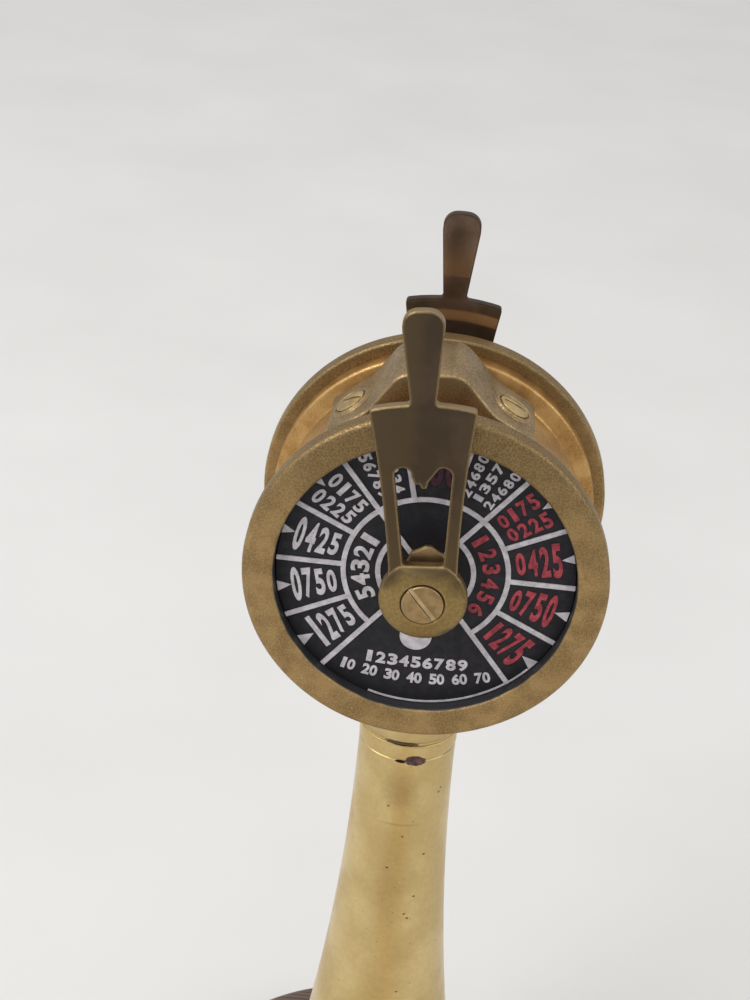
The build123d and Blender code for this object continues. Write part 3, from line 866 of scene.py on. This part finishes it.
# %% Bezels
bezel_corners = [
    (APERTURE, BEZEL_BACK, 0.15), (APERTURE, FACE, 0.7),
    (BEZEL_RADIUS, FACE, 1.1), (BEZEL_RADIUS, BEZEL_BACK, 0.5),
]
bezel_section = rounded(bezel_corners, 0.5, 5)
bezel = lathe("bezel", spaced(bezel_section + bezel_section[:1], 0.7)[:-1], 256)
roughen(bezel, 0.04, 2.5)
both_sides(bezel, "cast_bezel", bezel_brass, "root", "cast_brass", "bezel")

# %% [markdown]
# ## Drum, neck and joint ring
# The drum is a short cast tube with a raised bead behind each bezel and a cove between the bead and the
# broad middle band. The neck grows down from it. They could be two touching pieces, but they are one
# casting, so the turned shapes are united. The bar that carries the centre post is inside.

# %% Drum with its neck
BORE, BAND, GROOVE, BEAD, DIAL_POCKET = 28.0, 31.0, 29.9, 33.6, 30.55
half_section = [
    (BAND, 8.5, 0.45), (GROOVE, 9.9, 0.9), (GROOVE, 11.7, 0.7), (BEAD, 12.5, 0.6), (BEAD, BEZEL_BACK, 0.4),
    (DIAL_POCKET, BEZEL_BACK, 0), (DIAL_POCKET, DIAL_BACK, 0), (BORE, DIAL_BACK, 0),
]
drum_section = rounded(half_section + [(r, -u, size) for r, u, size in reversed(half_section)], 0.5, 5)
drum = lathe("drum", spaced(drum_section + drum_section[:1], 1.4)[:-1], 192)
roughen(drum, 0.05, 3.0)
NECK, NECK_GROOVE, SPIGOT, SPIGOT_LENGTH, ROD_HOLE = 10.5, 10.2, 6.5, 12.0, 2.55
SPIGOT_END = COLUMN_TOP - SPIGOT_LENGTH
GROOVE_TOP = RING_TOP + 0.6
DRUM_FOOT = AXIS - (BAND + BORE) / 2 + 1.0
neck_section = [
    (ROD_HOLE, SPIGOT_END), (SPIGOT, SPIGOT_END), (SPIGOT, RING_TOP), (NECK_GROOVE, RING_TOP),
    (NECK_GROOVE, GROOVE_TOP), (NECK - 0.35, GROOVE_TOP), (NECK, GROOVE_TOP + 0.5), (NECK, DRUM_FOOT),
    (ROD_HOLE, DRUM_FOOT),
]
neck = lathe("neck", neck_section, 96)
neck.matrix_world = FRONT.inverted() @ UPRIGHT
combine(drum, neck, "UNION")
BRIDGE_WIDTH, BRIDGE_THICKNESS, POST, BOSS = 13.0, 6.0, 4.55, 8
bridge = bar(BRIDGE_WIDTH, BORE + BAND, BRIDGE_THICKNESS, (0, 0, 0), name="bridge")
combine(drum, soften(bridge, 0.4), "UNION")
boss_corners = [(POST, -6), (BOSS, -6), (BOSS, 6), (POST, 6)]
boss = lathe("boss", rounded(boss_corners, 0.4), 64)
combine(drum, boss, "UNION")
set_down(drum, FRONT, drum_brass, 40)
drum.data.materials.append(column_brass)
for face in drum.data.polygons:
    on_neck = hypot(face.center.x, face.center.y) < (NECK + 0.2) * MM
    if on_neck and face.center.z < (AXIS - BAND) * MM:
        face.material_index = 1
drum.name = "cast_drum"
install(drum, "root", "cast_brass", "head_drum")

# %% Joint ring
def pebble(centre, size):
    """A small uneven lump for cutting a chip."""
    bpy.ops.object.select_all(action="DESELECT")
    bpy.ops.mesh.primitive_ico_sphere_add(subdivisions=3, radius=1, location=centre, scale=size)
    return roughen(settle(bpy.context.object), 0.5, 0.8)


SOCKET = SPIGOT + 0.05
ring_corners = [(SOCKET, COLUMN_TOP), (NECK, COLUMN_TOP, 0.3), (NECK, RING_TOP, 0.4), (SOCKET, RING_TOP)]
ring = lathe("joint_ring", rounded(ring_corners, 0.1, 4), 128)
combine(ring, pebble(CHIP + Vector((0.2, -0.2, 0.5)), (2.2, 0.55, 1.0)), "DIFFERENCE")
set_down(ring, UPRIGHT, column_brass)
install(ring, "root", "turned_brass", "neck_ring")

# %% [markdown]
# ## Hood and its screws
# The hood is a saddle casting on the crown of the drum: a flat top, two flanks, and two feet with a screw
# each. Its front view is drawn once, with generous rounds, and pulled along the drum. A low raised lip is
# cast round each screw.

# %% Hood
HOOD_TURN, HOOD_HALF, HOOD_BEND, HOOD_SEAT = 4.4, 8.5, 5.0, BAND + 0.05
top_corner, knee, foot = (6.2, 39.0), (12.4, 31.0), (20.3, 25.7)
seat_angle = degrees(atan2(sqrt(HOOD_SEAT ** 2 - foot[0] ** 2), foot[0]))
hood_corners = [foot + (0,), knee, top_corner]
hood_corners += [(-x, *rest) for x, *rest in reversed(hood_corners)]
saddle = arc((0, 0), HOOD_SEAT, 180 - seat_angle, seat_angle, 40)
hood = plate("hood", rounded(hood_corners, HOOD_BEND, 8) + saddle, -HOOD_HALF, HOOD_HALF)
soften(hood, 0.55, 4, 50)

foot_angle = degrees(atan2(knee[1] - foot[1], foot[0] - knee[0]))
SCREW_SHARE = 0.45
screw_seat = [a + (b - a) * SCREW_SHARE for a, b in zip(knee, foot)]


def on_foot(side):
    """Place of a hood screw: Z stands off the foot."""
    return (
        Matrix.Translation((side * screw_seat[0], screw_seat[1], 0))
        @ Matrix.Rotation(radians(-side * foot_angle), 4, "Z")
        @ Matrix.Rotation(radians(-90), 4, "X")
    )


for side in (1, -1):
    lip = lathe("lip", rounded([(3.3, -0.6), (4.5, -0.6), (4.15, 0.55), (3.55, 0.55)], 0.25, 4), 64)
    lip.matrix_world = on_foot(side)
    combine(hood, lip, "UNION")
set_down(hood, FRONT @ Matrix.Rotation(radians(HOOD_TURN), 4, "Z"), hood_brass, 40)
hood.name = "cast_hood"
install(hood, "root", "cast_brass", "hood")

# %% Hood screws
SLOT_TURNS = {1: 5, -1: -30}
heads = []
for side, slot_turn in SLOT_TURNS.items():
    shank = [(0, -4.6), (1.2, -4.6), (1.2, 0.02), (3.05, 0.02), (3.2, 0.2)]
    dome = through((3.15, 0.6), (2.2, 0.88), (0, 0.98), 6)
    head = lathe("hood screw", shank + dome, 48, closed=False)
    combine(head, soften(bar(8, 0.75, 1.2, (0, 0, 1.05), slot_turn), 0.08, 2), "DIFFERENCE")
    head.matrix_world = on_foot(side)
    heads.append(settle(head))
screws = join(heads, "hood_screw_pair")
set_down(screws, FRONT @ Matrix.Rotation(radians(HOOD_TURN), 4, "Z"), hood_screw_brass)
install(screws, "root", "screw_brass", "hood_screws")

# %% [markdown]
# ## Dials
# A dial is a black plate with raised lines between its orders and raised figures. Twelve lines part eleven
# equal sectors and leave a wide plain one at the bottom. A picture on the plate would be simpler, but it
# would lie flat, so each line is a small bar and each figure is lettered, thickened and set down by itself.
# The figures are plain numbers: pale on the ahead side, mostly red on the astern side.

# %% Dial plate
LINE_HEIGHT, FLANGE = 0.25, BEZEL_BACK - 0.1
DIAL_FACE = LINE_TOP - LINE_HEIGHT
DIAL_RADIUS, FACE_EDGE = APERTURE + 0.8, APERTURE - 0.15
dial_section = [
    (POST, DIAL_BACK), (DIAL_RADIUS, DIAL_BACK), (DIAL_RADIUS, FLANGE),
    (FACE_EDGE, FLANGE, 0), (FACE_EDGE, DIAL_FACE, 0.2), (POST, DIAL_FACE),
]
dial = lathe("dial", rounded(dial_section, 0.12, 3), 192)
both_sides(dial, "dial_plate", black_enamel, "root", "dial_enamel", "dial")

# %% Raised lines
RIB, RIB_TOP, RIB_FOOT = 1.0, LINE_TOP, DIAL_FACE - 0.1
PITCH, RIM, PATTERN_RISE = 360 / 14, FACE_EDGE - 0.1, 0.85
OUTER_ARC, INNER_ARC, LONG_START = 16.2, 9.4, 5.2
ORDERS = 11
EDGE_ORDER = ORDERS / 2


def on_dial(radius, angle):
    """A point of the pattern, which sits a little high; the angle runs clockwise from the top."""
    return (radius * sin(radians(angle)), radius * cos(radians(angle)) + PATTERN_RISE)


lines = []
LONG_LINES = {-EDGE_ORDER: INNER_ARC, -1.5: LONG_START, 1.5: LONG_START, EDGE_ORDER: INNER_ARC}
for step in range(ORDERS + 1):
    order = step - EDGE_ORDER
    angle = order * PITCH
    start = LONG_LINES.get(order, OUTER_ARC)
    middle = (*on_dial((start + DIAL_RADIUS) / 2, angle), (RIB_TOP + RIB_FOOT) / 2)
    lines.append(bar(RIB, DIAL_RADIUS - start, RIB_TOP - RIB_FOOT, middle, -angle))
ARC_LINES = (
    (OUTER_ARC, -EDGE_ORDER, EDGE_ORDER), (INNER_ARC, -EDGE_ORDER, -1.5), (INNER_ARC, 1.5, EDGE_ORDER),
)
for radius, first, last in ARC_LINES:
    more = degrees(RIB / 2 / radius)
    ends = (90 - last * PITCH - more, 90 - first * PITCH + more)
    outside = arc((0, PATTERN_RISE), radius + RIB / 2, ends[0], ends[1], 80)
    inside = arc((0, PATTERN_RISE), radius - RIB / 2, ends[1], ends[0], 80)
    lines.append(plate("arc line", outside + inside, RIB_FOOT, RIB_TOP))
raised = lines.pop(0)
for line in lines:
    combine(raised, line, "UNION")
trim_section = [(0, RIB_FOOT - 1), (RIM, RIB_FOOT - 1), (RIM, RIB_TOP + 1), (0, RIB_TOP + 1)]
combine(raised, lathe("trim", trim_section, 192, closed=False), "INTERSECT")
FIGURE_TOP, BORDER_START, BORDER_END = DIAL_FACE + 0.14, -108, -40
border = arc((0, 0), RIM, BORDER_START, BORDER_END, 60)
border += arc((0, 0), RIM - 0.4, BORDER_END, BORDER_START, 60)
combine(raised, plate("border line", border, RIB_FOOT, FIGURE_TOP), "UNION")
soften(raised, 0.12, 2, 60)
both_sides(raised, "dial_lines", pale_enamel, "root", "dial_enamel")

# %% Figures
BOLD, ONE_WIDTH = 0.035, 0.55


def figure(mark, centre, turn, width, height):
    """One raised figure, set to an exact width and height."""
    bpy.ops.object.select_all(action="DESELECT")
    bpy.ops.object.text_add(location=(0, 0, 0))
    text = bpy.context.object
    text.data.body = mark
    text.data.offset = BOLD
    text.data.extrude = 0.1
    text.data.resolution_u = 4
    bpy.ops.object.convert(target="MESH")
    obj = bpy.context.object
    low = Vector([min(v.co[i] for v in obj.data.vertices) for i in range(3)])
    high = Vector([max(v.co[i] for v in obj.data.vertices) for i in range(3)])
    size = high - low
    narrow = ONE_WIDTH if mark == "1" else 1.0
    stretch = Vector((width * narrow / size.x, height / size.y, (FIGURE_TOP - RIB_FOOT) / size.z))
    obj.matrix_world = (
        Matrix.Translation((*centre, (FIGURE_TOP + RIB_FOOT) / 2))
        @ Matrix.Rotation(radians(turn), 4, "Z")
        @ Matrix.Diagonal((*stretch, 1))
        @ Matrix.Translation(-(low + high) / 2)
    )
    return settle(obj)


def radial_row(marks, angle, near_radius, far_radius, near_height, far_height, aside=0.0):
    """A row of figures along a radius: inwards on the left half of the dial, outwards on the right."""
    outwards = angle > 0
    turn = 90 - angle if outwards else -90 - angle
    along = Vector((sin(radians(angle)), cos(radians(angle))))
    up_row = Vector((-along.y, along.x)) if outwards else Vector((along.y, -along.x))
    cell = (far_radius - near_radius) / len(marks)
    made = []
    for place, mark in enumerate(marks if outwards else reversed(marks)):
        share = (place + 0.5) / len(marks)
        spread = aside * (near_radius + cell * place) / near_radius
        centre = along * (near_radius + cell * (place + 0.5)) + up_row * spread
        centre.y += PATTERN_RISE
        tall = near_height + (far_height - near_height) * share
        made.append(figure(mark, centre, turn, cell * 0.80, tall))
    return made


def arc_row(marks, radius, first, last, width, height):
    """Figures round an arc; the angles run clockwise from the top."""
    made = []
    for place, mark in enumerate(marks):
        angle = first + (last - first) * place / (len(marks) - 1)
        made.append(figure(mark, on_dial(radius, angle), -angle, width, height))
    return made


def level_row(marks, half_width, low, rise, width, height):
    """Figures side by side at the bottom of the dial; the ends of the row stand higher."""
    made = []
    for place, mark in enumerate(marks):
        share = 2 * place / (len(marks) - 1) - 1
        if mark != " ":
            tilt = degrees(atan2(2 * rise * share, half_width))
            centre = (share * half_width, PATTERN_RISE + rise * share ** 2 - low)
            made.append(figure(mark, centre, tilt, width, height))
    return made


# %% Rows of the dial
SINGLE_ROW = (17.5, 27.0, 4.6, 8.2)     # from and to which radius, and how tall at each
DOUBLE_ROW = (17.8, 27.4, 2.9, 3.6)
pale_rows, red_rows, faded_rows = [], [], []
for order, marks in ((-5, "1275"), (-4, "0750"), (-3, "0425")):
    pale_rows += radial_row(marks, order * PITCH, *SINGLE_ROW)
for order, marks in ((3, "0425"), (4, "0750"), (5, "1275")):
    red_rows += radial_row(marks, order * PITCH, *SINGLE_ROW)
for aside, marks in ((1.65, "0175"), (-1.75, "0225")):
    pale_rows += radial_row(marks, -2 * PITCH, *DOUBLE_ROW, aside)
    red_rows += radial_row(marks, 2 * PITCH, *DOUBLE_ROW, aside)
for aside, marks in ((1.5, "01234"), (-1.5, "56789")):
    pale_rows += radial_row(marks, -PITCH, 18.0, 28.4, 2.3, 2.7, aside)
for aside, marks in ((2.5, "24680"), (0.0, "1357"), (-2.5, "24680")):
    pale_rows += radial_row(marks, PITCH, 18.4, 28.2, 1.9, 2.2, aside)
for place in (-1, 0, 1):
    faded_rows.append(figure("0", (place * 3.1, PATTERN_RISE + 23.0), 0, 2.7, 7.6))
pale_rows += arc_row("54321", 12.9, -118, -62, 2.6, 3.7)
red_rows += arc_row("123456", 12.9, 50, 124, 2.2, 3.5)
pale_rows += level_row("123456789", 9.4, 20.9, 0.4, 2.0, 2.6)
pale_rows += level_row("10 20 30 40 50 60 70", 14.4, 24.6, 1.9, 1.55, 2.5)

# %% Order marks and the middle mark
def to_edge(start, angle):
    """Where a line from a point, at an angle clockwise from the top, meets the edge of the dial's face."""
    way = Vector((sin(radians(angle)), cos(radians(angle))))
    along = way.dot(start)
    return tuple(start + way * (sqrt(along ** 2 + RIM ** 2 - start.length_squared) - along))


MARK_TIP, MARK_SPREAD = 26.8, 22
for order in (-5, -4, -3, -2, 2, 3, 4, 5):
    angle = order * PITCH
    tip = Vector(on_dial(MARK_TIP, angle))
    corners = [tuple(tip), to_edge(tip, angle - MARK_SPREAD), to_edge(tip, angle + MARK_SPREAD)]
    pale_rows.append(plate("order mark", corners, RIB_FOOT, FIGURE_TOP))
for centre, radius in (((-0.6, -13.9), 3.2), ((3.3, -12.7), 0.8)):
    pale_rows.append(plate("middle mark", arc(centre, radius, 0, 360, 40)[:-1], RIB_FOOT, FIGURE_TOP))
both_sides(join(pale_rows, "pale"), "dial_pale_figures", pale_enamel, "root", "dial_enamel")
both_sides(join(red_rows, "red"), "dial_red_figures", red_enamel, "root", "dial_enamel")
both_sides(join(faded_rows, "faded"), "dial_faded_figures", faded_enamel, "root", "dial_enamel")

# %% [markdown]
# ## Levers
# A lever is a flat plate with a grip at the top, a window with a pointed tongue in the middle and a domed
# hub on the pivot. The plate is drawn as one outline with a hole, pulled to its thickness and rounded at
# its edges. The hub is turned and cut flat toward the window. Uniting them gives one solid part.

# %% Lever
LEVER_FRONT = LEVER_BACK + 2.0
HUB, HUB_BITE, DOME = 8.6, 7.2, 2.4
SHOULDER, SHOULDER_HALF = BEZEL_RADIUS + 5.2, 10.0
WINDOW_TOP, WINDOW_BOTTOM = APERTURE - 1.2, 7.4
GRIP_TIP, GRIP_NECK, TIP_ROUND = 3.85, 2.35, 2.9

shoulder_corner = (SHOULDER_HALF, sqrt(SHOULDER ** 2 - SHOULDER_HALF ** 2))
side_line = through((6.4, 0), (7.95, WINDOW_TOP - 3.7), shoulder_corner, 24)
side_line = [point for point in side_line if hypot(*point) > HUB_BITE]
shoulder_end = degrees(atan2(sqrt(SHOULDER ** 2 - GRIP_NECK ** 2), GRIP_NECK))
shoulder_start = degrees(atan2(shoulder_corner[1], shoulder_corner[0]))
top_line = arc((0, 0), SHOULDER, shoulder_start, shoulder_end, 10)
grip_tip = (GRIP_TIP, LEVER_TOP - GRIP_TIP)
corner_line = [side_line[-2] + (0,), shoulder_corner + (0.8,), top_line[1] + (0,)]
neck_line = [top_line[-2] + (0,), top_line[-1] + (0.7,), grip_tip + (0,)]
right_half = (
    side_line[:-2]
    + rounded(corner_line, 0.8, 5, closed=False)
    + top_line[2:-2]
    + rounded(neck_line, 0.7, 4, closed=False)
)
tip_corners = [grip_tip, (GRIP_TIP, LEVER_TOP - 0.15, TIP_ROUND), (0, LEVER_TOP)]
tip_half = rounded(tip_corners, TIP_ROUND, 8, closed=False)[1:]
tip_line = tip_half + mirrored(tip_half)[1:]
foot_start = degrees(atan2(side_line[0][1], side_line[0][0]))
hub_bite = arc((0, 0), HUB_BITE, -180 - foot_start, foot_start, 30)[1:-1]
outline = right_half + tip_line + mirrored(right_half) + hub_bite

NOTCH, NOTCH_X = 1.75, 3.7
notch_y = WINDOW_TOP - NOTCH
tongue = [
    (2.9, 1.45, 0.3), (1.0, -1.15, 0.5), (0.65, -2.6, 0.3), (-0.25, -2.65, 0.25),
    (-0.65, -1.75, 0.2), (-1.6, -1.75, 0.3), (-2.2, -0.1, 0),
]
tongue = [(x, notch_y + y, size) for x, y, size in tongue]
right_notch = arc((NOTCH_X, notch_y), NOTCH, 0, 100, 8)
left_notch = arc((-NOTCH_X - 0.1, notch_y), NOTCH - 0.1, 20, 180, 9)
notches = right_notch + rounded(tongue, 0.3, 4, closed=False) + left_notch
sill_corners = [(5.45, notch_y), (3.9, WINDOW_BOTTOM), (-3.9, WINDOW_BOTTOM), (-5.45, notch_y)]
sill = rounded(sill_corners, 0.6, 5, closed=False)
window = spaced(notches + sill[::-1][1:-1], 2.5)
blade = plate("blade", outline, LEVER_BACK, LEVER_FRONT, [window])
soften(blade, 0.42, 3, 30)

dome_radius = (HUB ** 2 + DOME ** 2) / (2 * DOME)
dome_centre = (0, LEVER_FRONT + DOME - dome_radius)
RECESS, RECESS_FLOOR, JOURNAL_HOLE = 4.25, LEVER_FRONT + DOME - 1.9, 3.05
dome_steps = (RECESS + 0.25, 5.2, 6.0, 6.8, 7.6, 8.2, HUB - 0.15)
dome_line = [(r, dome_centre[1] + sqrt(dome_radius ** 2 - r ** 2)) for r in dome_steps]
hub_section = [
    (JOURNAL_HOLE, LEVER_BACK - 0.02), (JOURNAL_HOLE, RECESS_FLOOR), (RECESS, RECESS_FLOOR),
    (RECESS, dome_line[0][1] - 0.2), *dome_line, (HUB, LEVER_FRONT - 0.35), (HUB, LEVER_BACK + 0.3),
    (HUB - 0.3, LEVER_BACK - 0.02),
]
hub = lathe("hub", hub_section, 96)
combine(hub, bar(30, 6, 20, (0, WINDOW_BOTTOM + 2.8, LEVER_FRONT)), "DIFFERENCE")
slope = bar(30, 6, 12, (0, 0, 0))
slope.matrix_world = Matrix.Translation((0, 8.8, LEVER_FRONT + 2.7)) @ Matrix.Rotation(radians(45), 4, "X")
combine(hub, slope, "DIFFERENCE")
soften(hub, 0.3, 3, 30)
lever = combine(blade, hub, "UNION")
FRONT_LEVER_TURN = 5.2
both_sides(lever, "lever_handle", lever_brass, "{}_lever", "lever_brass", "lever", (FRONT_LEVER_TURN, 0))
# The rear lever takes the copy of the lever brass with painted light.
bpy.data.objects["rear_lever_handle"].data.materials[0] = rear_lever_lit_copy

# %% [markdown]
# ## Pivot screws and reply pointers
# A slotted screw sits in the recess of each hub and holds the lever on its journal. Behind the lever, a
# short broad pointer shows the engine room's answer.

# %% Pivot screws
HEAD, HEAD_BOTTOM, HEAD_TOP = 4.12, RECESS_FLOOR + 0.15, RECESS_FLOOR + 1.8
SCREW_END, SHANK = HEAD_BOTTOM - 11, 2.0
crown_line = through((HEAD - 0.45, HEAD_TOP - 0.12), (HEAD / 2, HEAD_TOP - 0.03), (0, HEAD_TOP), 6)
rim_line = arc((HEAD - 0.45, HEAD_TOP - 0.55), 0.45, 0, 80, 4)
shank = [
    (0, SCREW_END), (SHANK - 0.4, SCREW_END), (SHANK, SCREW_END + 0.4), (SHANK, HEAD_BOTTOM),
    (HEAD, HEAD_BOTTOM),
]
pivot = lathe("pivot", shank + rim_line + crown_line, 96, closed=False)
cutter = soften(bar(2 * HEAD + 1, 1.0, 1.3, (0, 0, HEAD_TOP), -50), 0.1, 2)
combine(pivot, cutter, "DIFFERENCE")
both_sides(pivot, "slotted_screw", pivot_brass, "root", "screw_brass", "pivot_screw")
# Painted light: the floor of each slot gets a paler brass, as if light reached down into it.
SLOT_FLOOR = (HEAD_TOP - 0.55) * MM
for side in SIDES:
    mesh = bpy.data.objects[side + "_slotted_screw"].data
    mesh.materials.append(slot_floor_painted_light)
    for face in mesh.polygons:
        outwards = abs(face.center.y)
        if SLOT_FLOOR - 0.15 * MM < outwards < SLOT_FLOOR and abs(face.normal.y) > 0.9:
            face.material_index = 1

# %% Reply pointers
POINTER_TOP = LEVER_BACK - 1.2
POINTER_BOTTOM = POINTER_TOP - 1.2
flank = [(5.17, 3.04), (3.6, 7.0), (3.2, 8.3), (1.8, 9.1), (0.6, 9.95)]
boss_arc = arc((0, 0), 6.0, 149.5, 390.5, 40)[1:-1]
pointer_hole = arc((0, 0), JOURNAL_HOLE, 0, 360, 40)[:-1]
pointer_outline = flank + mirrored(flank) + boss_arc
pointer = plate("pointer", pointer_outline, POINTER_BOTTOM, POINTER_TOP, [pointer_hole])
soften(pointer, 0.25, 3, 25)
both_sides(pointer, "reply_arrow", pointer_brass, "{}_reply_pointer", "lever_brass", "reply_pointer")

# %% [markdown]
# ## Column, base and felt
# The column is one long hollow curve that runs out into a wide foot. It is turned from a section like the
# drum. At its top edge the lacquer is chipped, so a small rough pebble is cut out of it.

# %% Column
TAPER, COVE_START, FOOT, FOOT_LIP, TOP_RADIUS = 545.0, 30.0, 33.5, 3.5, 10.4
column_height = COLUMN_TOP - BASE_TOP


def shaft_radius(height):
    """Radius of the tapered shaft at a height above the base."""
    return TOP_RADIUS + TAPER - sqrt(TAPER ** 2 - (column_height - height) ** 2)


cove_top = Vector((shaft_radius(COVE_START), COVE_START))
cove_foot = Vector((FOOT - 1.0, FOOT_LIP))
drop = column_height - COVE_START
run_out = Vector((drop, -sqrt(TAPER ** 2 - drop ** 2))).normalized()
across = Vector((-run_out.y, run_out.x))
chord = cove_foot - cove_top
cove_radius = chord.length_squared / (2 * chord.dot(across))
cove_centre = cove_top + across * cove_radius
spokes = [point - cove_centre for point in (cove_top, cove_foot)]
cove_angles = [degrees(atan2(spoke.y, spoke.x)) % 360 for spoke in spokes]
cove = arc(cove_centre, cove_radius, *cove_angles, 24)
SHAFT_STEPS, SHAFT_TOP = 30, column_height - 0.3
heights = [SHAFT_TOP - i * (SHAFT_TOP - COVE_START) / SHAFT_STEPS for i in range(SHAFT_STEPS)]
shaft = [(shaft_radius(h), h) for h in heights]
lip = arc((FOOT - 1.0, FOOT_LIP - 1.0), 1.0, 60, 0, 4)
rim = [(SOCKET, column_height), (TOP_RADIUS - 0.3, column_height)]
inside = [(FOOT, 0.3), (FOOT - 0.3, 0), (8, 0), (8, 30), (SOCKET, 70)]
column_section = rim + shaft + cove + lip + inside
column = lathe("turned_column", [(r, h + BASE_TOP) for r, h in column_section], 128)
combine(column, pebble(CHIP + Vector((0, -0.2, -0.2)), (2.4, 0.6, 1.3)), "DIFFERENCE")
set_down(column, UPRIGHT, column_brass)
install(column, "root", "turned_brass", "column")

# %% Base and felt
BASE_RADIUS, BASE_FOOT = base_high.x, base_low.z
NUT_RECESS, RECESS_TOP = 7.8, BASE_FOOT + 6.5
base_corners = [
    (ROD_HOLE, RECESS_TOP, 0), (NUT_RECESS, RECESS_TOP, 0), (NUT_RECESS, BASE_FOOT, 0.3),
    (BASE_RADIUS, BASE_FOOT, 1.0), (BASE_RADIUS, BASE_TOP, 2.5), (ROD_HOLE, BASE_TOP, 0),
]
wooden_base = lathe("wooden_base", rounded(base_corners, 1.0, 6), 192)
set_down(wooden_base, UPRIGHT, dark_wood)
install(wooden_base, "root", "dark_wood", "base_plate")

_, felt_high = box_mm("base_felt")
FELT_RADIUS, FELT_FOOT, FELT_TOP = felt_high.x - 0.1, 0.06, felt_high.z
felt_corners = [(0, FELT_FOOT), (FELT_RADIUS, FELT_FOOT, 0.4), (FELT_RADIUS, FELT_TOP, 0.2), (0, FELT_TOP)]
felt_section = rounded(felt_corners, 0.4, 4, closed=False)
felt_pad = lathe("felt_pad", spaced(felt_section, 1.5), 160, closed=False)
roughen(felt_pad, 0.1, 1.5)
set_down(felt_pad, UPRIGHT, felt)
install(felt_pad, "root", "felt", "base_felt")

# %% [markdown]
# ## CAD parts that stay
# The post, the dished washers and the tie rod with its nut and washer are right as they are, and hardly
# seen. They only get a better finish.

# %% Finishes of the CAD parts
KEPT = {
    "centre_post": post_brass,
    "front_friction_washer": steel,
    "rear_friction_washer": steel,
    "tie_rod": steel,
    "tie_rod_nut": steel,
    "tie_rod_washer": steel,
}
for name, material in KEPT.items():
    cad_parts[name].data.materials.clear()
    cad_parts[name].data.materials.append(material)
print("kept:", ", ".join(KEPT))

# %% [markdown]
# ## Floor and light
# A wide pale floor, one large soft lamp from the upper left, a weaker one from the right and a pale sky.
# The sky is darker low down all round, as a room is, so that upright metal does not look washed out. A card
# on the floor shows only in reflections, and gives the column its soft band.

# %% Floor
bpy.ops.object.select_all(action="DESELECT")
bpy.ops.mesh.primitive_plane_add(size=60, location=(0, 0, 0))
floor = bpy.context.object
floor.name = "floor"
pale_floor, tree, shader = new_material("pale floor", Roughness=0.8, Specular_IOR_Level=0.2)
smudge = add(tree, "TexNoise", {"Vector": bench_position(tree), "Scale": 0.01, "Detail": 3.0}).outputs[0]
floor_greys = [(0.3, colour(208, 207, 205)), (0.7, colour(213, 212, 210))]
connect(tree, shader, Base_Color=ramp(tree, smudge, floor_greys))
floor.data.materials.append(pale_floor)

# %% Lamps and sky
def lamp(name, place, size, power):
    """A soft square lamp aimed at the head of the object."""
    bpy.ops.object.light_add(type="AREA", location=place)
    made = bpy.context.object
    made.name = name
    made.data.size = size
    made.data.energy = power
    made.rotation_euler = (Vector((0, 0, AXIS * MM)) - Vector(place)).to_track_quat("-Z", "Y").to_euler()
    return made


lamp("window light", (-0.9, -0.5, 1.3), 1.0, 15)
lamp("fill light", (1.2, -0.4, 0.9), 1.0, 4)

# %% Card before the column
CARD_WIDTH, CARD_LENGTH, CARD_PLACE = 0.2, 0.5, (0.01, -0.32, 0.004)
bpy.ops.object.select_all(action="DESELECT")
bpy.ops.mesh.primitive_plane_add(size=1, location=CARD_PLACE)
card = bpy.context.object
card.name = "soft_card"
card.scale = (CARD_WIDTH, CARD_LENGTH, 1)
bpy.ops.object.transform_apply(location=True, rotation=False, scale=True)
card_grey, tree, shader = new_material("card grey", Roughness=1.0)
across = add(tree, "SeparateXYZ", {0: bench_position(tree)}).outputs["X"]
off_middle = maths(tree, "ABSOLUTE", maths(tree, "SUBTRACT", across, CARD_PLACE[0] / MM))
middle = fade(tree, off_middle, CARD_WIDTH / 2 / MM, 5.0)
connect(
    tree,
    shader,
    Base_Color=blend_colours(tree, middle, colour(205, 202, 196), colour(198, 184, 160)),
    Alpha=fade(tree, middle, 0.0, 0.5),
)
card.data.materials.append(card_grey)
card.visible_camera = False
card.visible_diffuse = False
card.visible_shadow = False

# %% Sky
world = bpy.data.worlds.new("pale room")
bpy.context.scene.world = world
world.use_nodes = True
tree = world.node_tree
ground = tree.nodes["Background"]
direction = add(tree, "SeparateXYZ", {0: add(tree, "TexCoord").outputs["Generated"]}).outputs
room = ramp(tree, fade(tree, direction["Z"], -0.3, 1.0), [(0.0, 0.35), (0.35, 0.55), (1.0, 0.95)])
sight = add(tree, "LightPath").outputs["Is Camera Ray"]
tree.links.new(blend_colours(tree, sight, room, [0.82, 0.82, 0.82, 1]), ground.inputs["Color"])
ground.inputs["Strength"].default_value = 1.0

# %% Plain view settings and the end
bpy.context.scene.view_settings.view_transform = "Standard"
